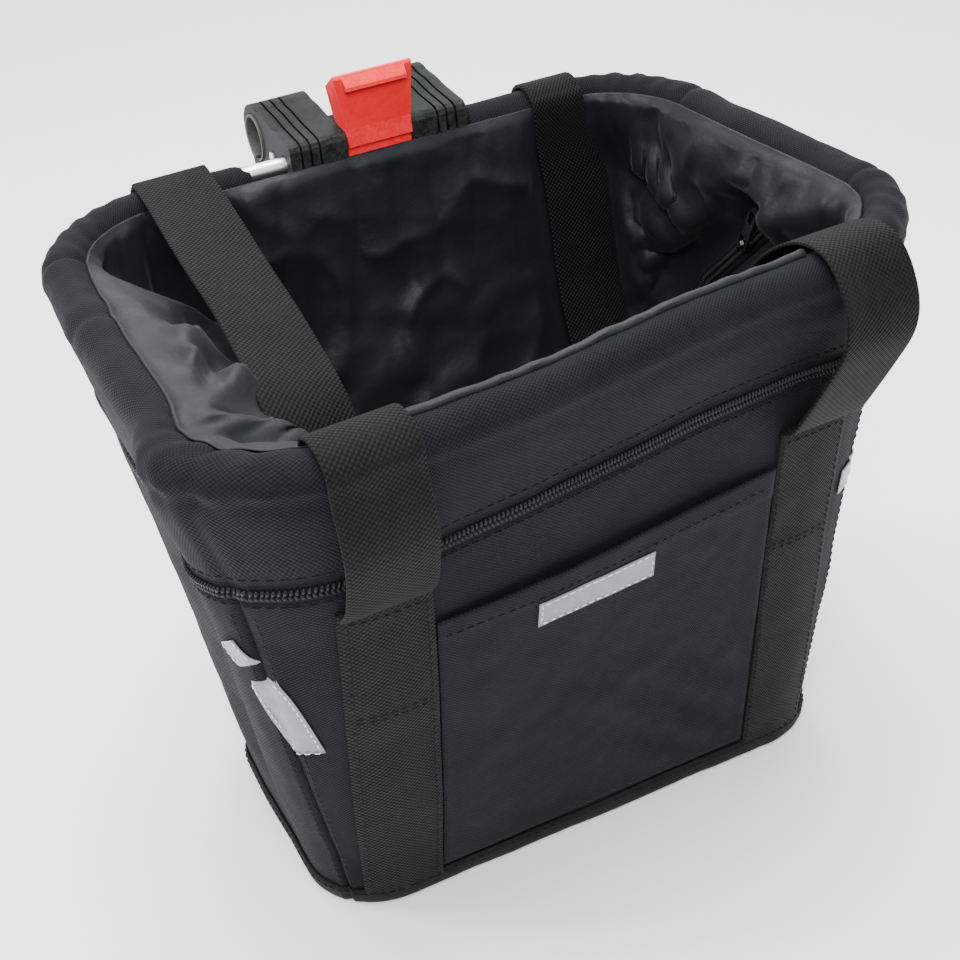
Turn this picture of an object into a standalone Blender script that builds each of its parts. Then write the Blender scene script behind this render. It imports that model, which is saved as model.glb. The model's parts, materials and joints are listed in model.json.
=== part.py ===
"""Handlebar basket: a fabric basket on an aluminium rim, with a quick-release handlebar bracket.

Metres, +Z up. X runs along the handlebar, -Y is the front (pocket) side and +Y the bracket side.
The origin is the middle of the base's underside. Each sub-part is one named object.
"""
import math

import bmesh
import bpy
from mathutils import Matrix, Vector

# ---------------------------------------------------------------- driving dimensions
GAP = 0.0004                # clearance between touching pieces

RIM_X = 0.173               # rim roll centre line: half width
RIM_Y = 0.127               # rim roll centre line: half depth
RIM_Z = 0.298               # rim roll centre line: height
ROLL_R = 0.011              # padded roll radius
RIM_R_FRONT = 0.068         # corner radii of the rim
RIM_R_BACK = 0.055

WALL_OUT = 0.007            # wall stands this far outside the roll centre line at the rim
BASE_X = 0.142              # base: half width, half depth, corner radii
BASE_Y = 0.076
BASE_R_FRONT = 0.036
BASE_R_BACK = 0.030
CLOTH = 0.0022              # outer fabric thickness
BOARD = 0.0020              # stiffener board thickness
LINING = 0.0012             # lining thickness
WALL_TOP = RIM_Z - ROLL_R - GAP
FLOOR = 0.0022              # base fabric thickness

TUBE_R = 0.0045             # rim tube, outer and bore radius
TUBE_BORE = 0.0034
TUBE_UP = 0.0055            # tube centre above roll centre
SLEEVE_END_LEFT = -0.068    # the roll is left open between these two x values at the back
SLEEVE_END_RIGHT = 0.050

ZIP_Z = 0.238               # front zipper centre height
ZIP_HALF = 0.0062
ZIP_FROM, ZIP_TO = 5.75, 11.25

STRAP_X = 0.1065            # webbing straps: centre x, width, thickness
STRAP_W = 0.038
STRAP_T = 0.0020
STITCH_Z = 0.2205           # height where the free handle is sewn to the wall

POCKET_HALF = 0.0865
POCKET_TOP = 0.200
POCKET_LOW = 0.016
POCKET_SKIN = 0.0014
POCKET_BOW = 0.0100

CHEEK_X = 0.0485            # bracket: outer half width, half width of the gap for the latch
LATCH_GAP_X = 0.0178
BAR_BACK = 0.043            # handlebar axis behind the tube axis
RING_R = 0.0172
BAR_BORE = 0.0127           # 25.4 mm handlebar bore, with a shim for 22.2 mm
SHIM_BORE = 0.0111
PIVOT_Y, PIVOT_Z = 0.0005, 0.0095   # latch pivot, from the tube axis
PIN_R = 0.0015

TUBE_AXIS = Vector((0.0, RIM_Y, RIM_Z + TUBE_UP))


# ---------------------------------------------------------------- helpers
def clear_scene():
    for old in list(bpy.data.objects):
        bpy.data.objects.remove(old, do_unlink=True)


def material(name, rgb, roughness, metallic=0.0):
    mat = bpy.data.materials.new(name)
    mat.use_nodes = True
    shader = mat.node_tree.nodes["Principled BSDF"]
    shader.inputs["Base Color"].default_value = (*rgb, 1.0)
    shader.inputs["Roughness"].default_value = roughness
    shader.inputs["Metallic"].default_value = metallic
    return mat


def make_object(name, verts, faces, mat, smooth_angle=35.0):
    mesh = bpy.data.meshes.new(name)
    mesh.from_pydata([tuple(v) for v in verts], [], faces)
    bm = bmesh.new()
    bm.from_mesh(mesh)
    bmesh.ops.remove_doubles(bm, verts=bm.verts, dist=1e-6)
    bmesh.ops.recalc_face_normals(bm, faces=bm.faces)
    bm.to_mesh(mesh)
    bm.free()
    mesh.shade_smooth()
    mesh.set_sharp_from_angle(angle=math.radians(smooth_angle))
    mesh.materials.append(mat)
    obj = bpy.data.objects.new(name, mesh)
    bpy.context.scene.collection.objects.link(obj)
    return obj


def loft(name, rings, mat):
    """Skin a row of closed rings with the same number of points and cap both ends."""
    count = len(rings[0])
    verts = [p for ring in rings for p in ring]
    faces = [tuple(reversed(range(count)))]
    for i in range(len(rings) - 1):
        for j in range(count):
            k = (j + 1) % count
            faces.append((i * count + j, i * count + k, (i + 1) * count + k, (i + 1) * count + j))
    last = (len(rings) - 1) * count
    faces.append(tuple(range(last, last + count)))
    return make_object(name, verts, faces, mat)


def shell(name, outer, inner, mat, wrap=False):
    """Closed solid between two equal grids of points; wrap joins the last column to the first."""
    rows, cols = len(outer), len(outer[0])
    verts = [p for row in outer for p in row] + [p for row in inner for p in row]
    half = rows * cols
    steps = cols if wrap else cols - 1
    faces = []
    for i in range(rows - 1):
        for j in range(steps):
            k = (j + 1) % cols
            a, b, c, d = i * cols + j, i * cols + k, (i + 1) * cols + k, (i + 1) * cols + j
            faces.append((a, b, c, d))
            faces.append((half + d, half + c, half + b, half + a))
    for i in (0, rows - 1):
        for j in range(steps):
            k = (j + 1) % cols
            a, b = i * cols + j, i * cols + k
            faces.append((b, a, half + a, half + b))
    if not wrap:
        for j in (0, cols - 1):
            for i in range(rows - 1):
                a, b = i * cols + j, (i + 1) * cols + j
                faces.append((a, b, half + b, half + a))
    return make_object(name, verts, faces, mat)


def tub(name, outer_rings, inner_rings, mat):
    """Open-topped solid: outer rings run top to bottom, inner rings bottom to top."""
    return loft(name, list(reversed(outer_rings)) + list(reversed(inner_rings)), mat)


def prism(name, polygon, low, high, frame, mat):
    """Extrude a flat polygon from low to high along the frame's local Z."""
    rings = [[frame @ Vector((p[0], p[1], w)) for p in polygon] for w in (low, high)]
    return loft(name, rings, mat)


def turned(name, profile, frame, mat, sides=16):
    """Solid of revolution about the frame's local Z from (radius, height) pairs."""
    rings = []
    for radius, height in profile:
        ring = []
        for k in range(sides):
            angle = 2 * math.pi * k / sides
            ring.append(frame @ Vector((radius * math.cos(angle), radius * math.sin(angle), height)))
        rings.append(ring)
    return loft(name, rings, mat)


def circle(cx, cy, radius, sides, start=0.0, end=360.0, closed=True):
    count = sides if closed else sides + 1
    points = []
    for k in range(count):
        angle = math.radians(start + (end - start) * k / sides)
        points.append((cx + radius * math.cos(angle), cy + radius * math.sin(angle)))
    return points


def bake_modifiers(obj):
    """Replace the object's mesh by its evaluated mesh and drop its modifiers."""
    bpy.context.view_layer.update()
    evaluated = obj.evaluated_get(bpy.context.evaluated_depsgraph_get())
    mesh = bpy.data.meshes.new_from_object(evaluated)
    obj.modifiers.clear()
    obj.data = mesh


def combine(target, others, operation):
    for other in others:
        mod = target.modifiers.new("boolean", "BOOLEAN")
        mod.operation = operation
        mod.solver = "EXACT"
        mod.object = other
        bake_modifiers(target)
        bpy.data.objects.remove(other, do_unlink=True)
    target.data.shade_smooth()
    target.data.set_sharp_from_angle(angle=math.radians(35))
    return target


def lerp(a, b, t):
    return a + (b - a) * t


# ---------------------------------------------------------------- basket outline
def outline(u, half_x, half_y, r_front, r_back):
    """Point and outward normal on a rounded rectangle, anticlockwise from the front straight.

    u 0-1 front, 1-2 front right corner, 2-3 right, 3-4 back right corner,
    4-5 back, 5-6 back left corner, 6-7 left, 7-8 front left corner.
    """
    u %= 8.0
    part, t = int(u), u - int(u)
    centres = (
        (half_x - r_front, r_front - half_y),
        (half_x - r_back, half_y - r_back),
        (r_back - half_x, half_y - r_back),
        (r_front - half_x, r_front - half_y),
    )
    if part % 2:
        cx, cy = centres[part // 2]
        radius = r_front if part in (1, 7) else r_back
        angle = math.radians(90 * (part // 2 - 1 + t))
        normal = Vector((math.cos(angle), math.sin(angle)))
        return Vector((cx, cy)) + radius * normal, normal
    angle = math.radians(90 * (part // 2 - 1))
    normal = Vector((math.cos(angle), math.sin(angle)))
    start = Vector(centres[(part // 2 - 1) % 4])
    end = Vector(centres[part // 2])
    reach = half_y if part in (0, 4) else half_x
    point = start.lerp(end, t)
    axis = 1 if part in (0, 4) else 0
    point[axis] = reach * normal[axis]
    return point, normal


def wall_sizes(z):
    t = z / RIM_Z
    return (
        lerp(BASE_X, RIM_X + WALL_OUT, t),
        lerp(BASE_Y, RIM_Y + WALL_OUT, t),
        lerp(BASE_R_FRONT, RIM_R_FRONT + WALL_OUT, t),
        lerp(BASE_R_BACK, RIM_R_BACK + WALL_OUT, t),
    )


def wall_point(u, z, proud=0.0):
    """Point on the basket's outer wall at height z, moved outward by proud."""
    point, normal = outline(u, *wall_sizes(z))
    return Vector((*(point + normal * proud), z))


def wall_y(x, z, side):
    """y of the outer wall at x; side is -1 for the front and +1 for the back."""
    half_x, half_y, r_front, r_back = wall_sizes(z)
    radius = r_front if side < 0 else r_back
    over = abs(x) - (half_x - radius)
    drop = radius - math.sqrt(radius ** 2 - over ** 2) if over > 0 else 0.0
    return side * (half_y - drop)


def columns(start, end, corner_steps=6):
    """u values from start to end: few on the straights, corner_steps on each full corner."""
    values = []
    u = start
    while u < end - 1e-6:
        values.append(u)
        part = int(u + 1e-9)
        step = 1.0 / corner_steps if part % 2 else 0.5
        u = min(end, min(part + 1, u + step)) if u + 1e-9 < part + 1 else u + step
    values.append(end)
    return values


def wall_panel(name, start, end, z_low, z_high, outside, inside, mat, rows=2):
    """Piece of wall between two heights; outside and inside are distances proud of the wall."""
    us = columns(start, end)
    levels = [lerp(z_low, z_high, k / (rows - 1)) for k in range(rows)]
    outer = [[wall_point(u, z, outside) for u in us] for z in levels]
    inner = [[wall_point(u, z, inside) for u in us] for z in levels]
    return shell(name, outer, inner, mat)


def rim_frames(start, end):
    """Points of the rim line with their outward normals."""
    frames = []
    for u in columns(start, end, 7):
        point, normal = outline(u, RIM_X, RIM_Y, RIM_R_FRONT, RIM_R_BACK)
        frames.append((Vector((*point, RIM_Z)), Vector((*normal, 0.0))))
    return frames


def rim_circle(frame, radius, lift, sides):
    centre, normal = frame
    ring = []
    for k in range(sides):
        angle = 2 * math.pi * k / sides
        ring.append(centre + normal * (radius * math.cos(angle))
                    + Vector((0, 0, lift + radius * math.sin(angle))))
    return ring


# ---------------------------------------------------------------- rim
def build_rim(mats):
    split = 0.0012
    ends = split / (RIM_X - RIM_R_FRONT)
    frames = rim_frames(0.5 + ends, 8.5 - ends)
    sides = 12
    shell("rim_tube", [rim_circle(f, TUBE_R, TUBE_UP, sides) for f in frames],
          [rim_circle(f, TUBE_BORE, TUBE_UP, sides) for f in frames], mats["aluminium"], wrap=True)
    along_x = Matrix.Translation((0, -RIM_Y, RIM_Z + TUBE_UP)) @ Matrix.Rotation(math.pi / 2, 4, "Y")
    dowel = TUBE_BORE - GAP
    turned("rim_tube_joiner", [(dowel - 0.0006, -0.025), (dowel, -0.0235), (dowel, 0.0235),
                               (dowel - 0.0006, 0.025)], along_x, mats["steel"], 12)

    straight = 2 * (RIM_X - RIM_R_BACK)
    from_right = RIM_X - RIM_R_BACK
    u_left = 4 + (from_right - SLEEVE_END_LEFT) / straight
    u_right = 4 + (from_right - SLEEVE_END_RIGHT) / straight
    frames = rim_frames(u_left, u_right + 8)
    sides = 14
    shell("rim_sleeve", [rim_circle(f, ROLL_R, 0.0, sides) for f in frames],
          [rim_circle(f, TUBE_R + GAP, TUBE_UP, sides) for f in frames], mats["fabric"], wrap=True)

    band_x = STRAP_X - STRAP_W / 2 - 0.003
    inner_y = ROLL_R - RIM_Y
    rings = []
    for k in range(9):
        x = lerp(-band_x, band_x, k / 8)
        rings.append([Vector((x, inner_y + dy, RIM_Z + dz)) for dy, dz in
                      ((0.0005, 0.0005), (0.0020, 0.0005), (0.0005, 0.0080), (-0.0016, 0.0080))])
    loft("rim_lining_edge", rings, mats["lining"])


# ---------------------------------------------------------------- fabric walls and boards
def build_walls(mats):
    low = FLOOR + GAP
    under_zip = ZIP_Z - ZIP_HALF - GAP
    seam = 0.004
    fabric = mats["fabric"]
    wall_panel("front_panel", 7.5 + seam, 9.5 - seam, low, under_zip, 0.0, -CLOTH, fabric)
    wall_panel("right_panel", 1.5 + seam, 3.5 - seam, low, under_zip, 0.0, -CLOTH, fabric)
    wall_panel("left_panel", 5.5 + seam, 7.5 - seam, low, under_zip, 0.0, -CLOTH, fabric)
    wall_panel("back_panel", 3.5 + seam, 5.5 - seam, low, WALL_TOP, 0.0, -CLOTH, fabric)
    over_zip = ZIP_Z + ZIP_HALF + GAP
    wall_panel("upper_band", 5.5 + seam, 11.5 - seam, over_zip, WALL_TOP, 0.0, -CLOTH, fabric)
    for name, start, end in (("zip_end_tab_left", 5.5 + seam, ZIP_FROM - seam),
                             ("zip_end_tab_right", ZIP_TO + seam, 11.5 - seam)):
        wall_panel(name, start, end, ZIP_Z - ZIP_HALF, ZIP_Z + ZIP_HALF, 0.0, -CLOTH, fabric)

    board_in = CLOTH + GAP
    for name, side in (("front_board", 0.0), ("back_board", 4.0)):
        wall_panel(name, side + 0.02, side + 0.98, 0.012, 0.215, -board_in, -board_in - BOARD,
                   mats["board"])
    build_base(mats)
    build_lining(mats)


def build_base(mats):
    loft("base_panel", [flat_ring(0.0, 0.0006), flat_ring(0.0004, 0.0), flat_ring(FLOOR, 0.0)],
         mats["fabric"])
    under = FLOOR + GAP
    board_inset = CLOTH + 2 * GAP
    loft("base_board", [flat_ring(under, board_inset), flat_ring(under + 0.003, board_inset)],
         mats["board"])
    us = columns(0.0, 8.0)[:-1]
    levels = (0.0030, 0.0118)
    shell("base_binding", [[wall_point(u, z, 0.0020) for u in us] for z in levels],
          [[wall_point(u, z, GAP) for u in us] for z in levels], mats["webbing"], wrap=True)


def flat_ring(z, inset):
    """Base outline at height z, drawn in by inset."""
    ring = []
    for u in columns(0.0, 8.0)[:-1]:
        point = wall_point(u, 0.0, -inset)
        ring.append(Vector((point.x, point.y, z)))
    return ring


def build_lining(mats):
    inset = CLOTH + BOARD + 2 * GAP
    floor = FLOOR + 0.003 + 2 * GAP
    us = columns(0.0, 8.0)[:-1]
    outer = [[wall_point(u, z, -inset) for u in us] for z in (WALL_TOP, floor)]
    inner = [[wall_point(u, z, -inset - LINING) for u in us] for z in (floor + LINING, WALL_TOP)]
    tub("lining", outer, inner, mats["lining"])


# ---------------------------------------------------------------- webbing, pocket and trim
def sewn_strap(name, x_mid, side, mats):
    """Webbing sewn flat on the wall from the base binding to the handle's stitch line."""
    xs = [x_mid + STRAP_W * (k / 6 - 0.5) for k in range(7)]
    levels = [lerp(0.0125, STITCH_Z - GAP, k / 6) for k in range(7)]
    clear = 2 * GAP
    outer = [[Vector((x, wall_y(x, z, side) + side * (clear + STRAP_T), z)) for x in xs] for z in levels]
    inner = [[Vector((x, wall_y(x, z, side) + side * clear, z)) for x in xs] for z in levels]
    shell(name, outer, inner, mats["webbing"])


def smooth_path(points, per_span):
    """Catmull-Rom curve through the points."""
    ends = [2 * points[0] - points[1]] + points + [2 * points[-1] - points[-2]]
    result = []
    for i in range(1, len(ends) - 2):
        p0, p1, p2, p3 = ends[i - 1:i + 3]
        for k in range(per_span):
            t = k / per_span
            result.append(0.5 * (2 * p1 + (p2 - p0) * t + (2 * p0 - 5 * p1 + 4 * p2 - p3) * t ** 2
                                 + (3 * p1 - p0 - 3 * p2 + p3) * t ** 3))
    result.append(points[-1])
    return result


def handle(name, x_mid, route, mats):
    """Free webbing handle; each route point is (y, z, twist in degrees)."""
    path = smooth_path([Vector(p) for p in route], 4)
    rings = []
    for i, point in enumerate(path):
        before, after = path[max(i - 1, 0)], path[min(i + 1, len(path) - 1)]
        tangent = Vector((0, after.x - before.x, after.y - before.y)).normalized()
        across = Matrix.Rotation(math.radians(point.z), 3, tangent) @ Vector((1, 0, 0))
        out = across.cross(tangent).normalized() * (STRAP_T / 2)
        centre = Vector((x_mid, point.x, point.y))
        half = across * (STRAP_W / 2)
        rings.append([centre - half - out, centre + half - out, centre + half + out, centre - half + out])
    loft(name, rings, mats["webbing"])


def over_rim(side, inner_slack=0.0):
    """Route points hugging the padded roll from outside to inside."""
    points = []
    for angle in (-25, 25, 60, 95, 130, 165):
        a = math.radians(angle)
        lift = ROLL_R + STRAP_T / 2 + 0.0014 + inner_slack * max(0.0, -math.cos(a))
        points.append((side * (RIM_Y + lift * math.cos(a)), RIM_Z + lift * math.sin(a), 0))
    return points


def build_handles(mats):
    front_sew = wall_y(STRAP_X + STRAP_W / 2, STITCH_Z, -1)
    back_sew = wall_y(STRAP_X, STITCH_Z, 1)
    clear = 2 * GAP + STRAP_T / 2
    low = STITCH_Z + 0.0015
    back_end = [(back_sew + clear, low, 0), (back_sew + clear + 0.004, low + 0.018, 0),
                (RIM_Y + 0.0132, RIM_Z - 0.030, 0)]
    front_y = wall_y(0.0, STITCH_Z, -1) - clear
    left_front = [(front_y, low, 0), (front_y - 0.0100, low + 0.013, 0),
                  (-RIM_Y - 0.0135, RIM_Z - 0.035, 0)]
    left_inside = [(-0.1060, 0.268, 0), (-0.0990, 0.246, 2), (-0.0860, 0.236, 5), (-0.0730, 0.249, 9),
                   (-0.0660, 0.268, 13), (-0.0480, 0.2835, 16), (-0.0100, 0.2905, 17),
                   (0.0400, 0.2985, 14), (0.0800, 0.3045, 7)]
    route = left_front + over_rim(-1, 0.0045) + left_inside + list(reversed(over_rim(1)[:4]))
    route += list(reversed(back_end))
    handle("handle_left", -STRAP_X, route, mats)

    right_front = [(front_y, low, 0), (front_y - 0.0110, low + 0.009, 0),
                   (-0.1440, 0.262, 0), (-0.1520, 0.288, 0), (-0.1430, 0.3115, 0), (-0.1240, 0.3180, 0),
                   (-0.0950, 0.3110, 0), (-0.0680, 0.2920, 0), (-0.0500, 0.255, 0), (-0.0380, 0.210, 0),
                   (-0.0150, 0.160, 0), (0.0200, 0.135, 0), (0.0560, 0.135, 0), (0.0840, 0.157, 0),
                   (0.1000, 0.195, 0), (0.1080, 0.240, 0), (0.1135, 0.275, 0)]
    route = right_front + list(reversed(over_rim(1))) + list(reversed(back_end))
    handle("handle_right", STRAP_X, route, mats)
    for name, x_mid, side in (("front_strap_left", -STRAP_X, -1), ("front_strap_right", STRAP_X, -1),
                              ("back_strap_left", -STRAP_X, 1), ("back_strap_right", STRAP_X, 1)):
        sewn_strap(name, x_mid, side, mats)


def pocket_stand_off(x, z):
    """How far the patch pocket's skin stands off the wall: it bows out towards its open top."""
    across = max(0.0, 1 - (x / POCKET_HALF) ** 2)
    up = (z - POCKET_LOW) / (POCKET_TOP - POCKET_LOW)
    return GAP + POCKET_BOW * across ** 0.8 * max(0.0, up) ** 1.3


def pocket_point(x, z, proud):
    return Vector((x, wall_y(x, z, -1) - pocket_stand_off(x, z) - proud, z))


def build_pocket(mats):
    xs = [lerp(-POCKET_HALF, POCKET_HALF, k / 12) for k in range(13)]
    levels = [lerp(POCKET_LOW, POCKET_TOP, k / 8) for k in range(9)]
    outer = [[pocket_point(x, z, POCKET_SKIN) for x in xs] for z in levels]
    inner = [[pocket_point(x, z, 0.0) for x in xs] for z in levels]
    shell("front_pocket", outer, inner, mats["fabric"])

    xs = [lerp(-0.044, 0.014, k / 6) for k in range(7)]
    levels = [0.1725, 0.1800, 0.1865]
    lift = POCKET_SKIN + GAP
    outer = [[pocket_point(x, z, lift + 0.0007) for x in xs] for z in levels]
    inner = [[pocket_point(x, z, lift) for x in xs] for z in levels]
    shell("reflector_front", outer, inner, mats["reflective"])
    for name, start, end in (("reflector_left", 6.80, 7.45), ("reflector_right", 1.55, 2.20)):
        wall_panel(name, start, end, 0.163, 0.177, 3 * GAP + 0.0007, 3 * GAP, mats["reflective"])


# ---------------------------------------------------------------- zippers
ZIP_PROFILE = ((-1.0, 0.0), (-0.45, 0.0), (-0.38, 0.0018), (0.38, 0.0018), (0.45, 0.0), (1.0, 0.0))
COIL_PROUD = 0.0018
INNER_ZIP_HALF = 0.0060
SLIDER_L, SLIDER_W, SLIDER_BASE = 0.0095, 0.0082, 0.0014
PULL_L, PULL_W, PULL_T = 0.0260, 0.0075, 0.0012
PULL_LIFT = 0.0030          # pull's hinge line above the slider's underside

LINING_FACE = CLOTH + BOARD + 2 * GAP + LINING   # how far inside the wall the lining's face lies
INNER_ZIP_MID = (0.0300, 0.238)     # y, z of the inner slider at rest
INNER_ZIP_RUN = (0.70, -0.714)       # y, z direction of its straight run down the right wall
INNER_PULL_TURN = 25.0              # the inner pull hangs askew on its slider, in degrees


def wall_lean(half_base, half_top):
    return math.atan((half_top - half_base) / RIM_Z)


def build_front_zipper(mats):
    us = columns(ZIP_FROM, ZIP_TO)
    outer = [[wall_point(u, ZIP_Z + ZIP_HALF * w, h) for u in us] for w, h in ZIP_PROFILE]
    inner = [[wall_point(u, ZIP_Z + ZIP_HALF * w, -0.0012) for u in us] for w, h in ZIP_PROFILE]
    shell("front_zipper", outer, inner, mats["zip"])

    lean = wall_lean(BASE_X, RIM_X + WALL_OUT)
    half_x = wall_sizes(ZIP_Z)[0]
    normal = Vector((math.cos(lean), 0, -math.sin(lean)))
    along = Vector((0, -1, 0))
    base = Vector((half_x, 0.050, ZIP_Z)) + normal * (COIL_PROUD + GAP)
    zipper_head("front_zip", base, along, normal, 0.0, mats)


def zipper_head(prefix, base, along, normal, pull_turn, mats):
    """Slider body and pull tab; the pull points along the zipper, turned aside by pull_turn."""
    side = normal.cross(along)
    frame = Matrix.Translation(base) @ Matrix((along, side, normal)).transposed().to_4x4()
    half_l, half_w = SLIDER_L / 2, SLIDER_W / 2
    body = [(-half_l, -half_w * 0.62), (0, -half_w), (half_l, -half_w * 0.8), (half_l, half_w * 0.8),
            (0, half_w), (-half_l, half_w * 0.62)]
    slider = prism(prefix + "_slider", body, 0.0, SLIDER_BASE, frame, mats["gunmetal"])
    bridge_outer = [(-0.0036, 0.0008), (-0.0036, 0.0040), (-0.0024, 0.0052), (0.0024, 0.0052),
                    (0.0036, 0.0040), (0.0036, 0.0008)]
    stand = frame @ Matrix(((1, 0, 0, 0), (0, 0, 1, 0), (0, 1, 0, 0), (0, 0, 0, 1)))
    bridge = prism("bridge", bridge_outer, -0.0011, 0.0011, stand, mats["gunmetal"])
    opening = [(-0.0023, 0.0018), (-0.0023, 0.0042), (0.0023, 0.0042), (0.0023, 0.0018)]
    window = prism("window", opening, -0.004, 0.004, stand, mats["gunmetal"])
    combine(slider, [bridge], "UNION")
    combine(slider, [window], "DIFFERENCE")

    way = frame @ Matrix.Rotation(math.radians(pull_turn), 4, "Z")
    half = PULL_W / 2
    eye_half = 0.0015 + 0.0035 * math.sin(math.radians(abs(pull_turn)))
    root_half = max(0.0026, eye_half + 0.0011)
    tab = [(-0.0006, -root_half), (0.0050, -root_half), (0.010, -half)]
    tab += circle(PULL_L - half, 0, half, 8, -90, 90, closed=False)
    tab += [(0.010, half), (0.0050, root_half), (-0.0006, root_half)]
    pull = prism(prefix + "_pull", tab, PULL_LIFT - PULL_T / 2, PULL_LIFT + PULL_T / 2, way,
                 mats["gunmetal"])
    slot = [(0.0006, -eye_half), (0.0006, eye_half), (0.0055, eye_half), (0.0055, -eye_half)]
    slot = prism("slot", slot, -0.01, 0.01, way, mats["gunmetal"])
    eye = [(0.0145, -0.0016), (0.0145, 0.0016), (0.0215, 0.0018), (0.0215, -0.0018)]
    eye = prism("eye", eye, -0.01, 0.01, way, mats["gunmetal"])
    combine(pull, [slot, eye], "DIFFERENCE")


def inner_zip_point(u, z, proud):
    return wall_point(u, z, -LINING_FACE - 3 * GAP - proud)


def right_wall_u(y, z):
    """Outline parameter of a point on the right wall's flat stretch, one turn on."""
    half_x, half_y, r_front, r_back = wall_sizes(z)
    front_end, back_end = r_front - half_y, half_y - r_back
    return 10.0 + (y - front_end) / (back_end - front_end)


def build_inner_zipper(mats):
    """Coil zipper on the lining: up the right wall, then just under the rim round to the left."""
    mid_y, mid_z = INNER_ZIP_MID
    run_y, run_z = INNER_ZIP_RUN
    route = []
    for reach in (0.070, 0.035, 0.0, -0.019, -0.036):
        y, z = mid_y + run_y * reach, mid_z + run_z * reach
        route.append((right_wall_u(y, z), z))
    route += [(10.20, 0.2705), (9.93, 0.2715), (9.5, 0.2705), (9.0, 0.270), (8.5, 0.270), (8.0, 0.272), (7.6, 0.275),
              (7.25, 0.2785)]
    path = smooth_path([Vector((u, z, 0)) for u, z in route], 3)
    outer, inner = [], []
    for w, h in ZIP_PROFILE:
        outer.append([inner_zip_point(p.x, p.y + INNER_ZIP_HALF * w, h + 0.0008) for p in path])
        inner.append([inner_zip_point(p.x, p.y + INNER_ZIP_HALF * w, 0.0) for p in path])
    shell("inner_zipper", outer, inner, mats["zip"])

    lean = wall_lean(BASE_X, RIM_X + WALL_OUT)
    normal = Vector((-math.cos(lean), 0, math.sin(lean)))
    up = Vector((math.sin(lean), 0, math.cos(lean)))
    along = (up * -run_z + Vector((0, -run_y, 0))).normalized()
    x = wall_sizes(mid_z)[0] - (LINING_FACE + 0.0008 + COIL_PROUD + 4 * GAP) / math.cos(lean)
    zipper_head("inner_zip", Vector((x, mid_y, mid_z)), along, normal, INNER_PULL_TURN, mats)


# ---------------------------------------------------------------- handlebar bracket
def at_tube(x, y, z):
    """World point from a point given relative to the rim tube's axis."""
    return TUBE_AXIS + Vector((x, y, z))


def yz_frame(x=0.0):
    """Frame whose local X, Y, Z are world Y, Z, X, placed on the tube axis."""
    turn = Matrix(((0, 0, 1, 0), (1, 0, 0, 0), (0, 1, 0, 0), (0, 0, 0, 1)))
    return Matrix.Translation(at_tube(x, 0, 0)) @ turn


def cheek_outline(groove):
    """Side outline of a cheek; groove lowers its top and front edge."""
    top, front = 0.0130 - groove, -0.0110 + groove
    ring = RING_R - groove
    points = [(-0.0086, -0.0085), (front, -0.0068), (front, top - 0.0035), (front + 0.0012, top - 0.0012),
              (front + 0.0036, top), (0.0130, top + 0.0010), (0.0260, top + 0.0028)]
    points += [(BAR_BACK + ring * math.cos(math.radians(a)), ring * math.sin(math.radians(a)))
               for a in range(112, -57, -14)]
    points += [(BAR_BACK + 0.0085, -RING_R - 0.0020), (BAR_BACK + 0.0085, -RING_R - 0.0090),
               (BAR_BACK - 0.0085, -RING_R - 0.0090), (BAR_BACK - 0.0085, -RING_R - 0.0010),
               (BAR_BACK - 0.0150, -0.0098), (0.0200, -0.0085)]
    return points


def cheek(name, x_low, x_high, mats):
    """One cheek: its three long ribs come from grooves at steps in x."""
    depth = 0.0011
    inner = x_low if abs(x_low) < abs(x_high) else x_high
    outward = 1 if x_low >= 0 else -1
    width = x_high - x_low
    grooves = (0.0140, 0.0190, 0.0240)
    stations = [(0.0, 0.0)]
    for start in grooves:
        stations += [(start, 0.0), (start, depth), (start + 0.0012, depth), (start + 0.0012, 0.0)]
    stations.append((width, 0.0))
    frame = yz_frame()
    rings = [[frame @ Vector((p[0], p[1], inner + outward * s)) for p in cheek_outline(g)]
             for s, g in stations]
    return loft(name, rings, mats["bracket"])


def slot_cutter(mats):
    """Seat for the rim tube, open downward with a small lead-in."""
    seat = TUBE_R + 0.0003
    points = circle(0, 0, seat, 10, 0, 180, closed=False)
    points += [(-seat, -0.0060), (-seat - 0.0016, -0.0120), (seat + 0.0016, -0.0120), (seat, -0.0060)]
    return prism("cut_seat", points, -0.08, 0.08, yz_frame(), mats["bracket"])


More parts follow.
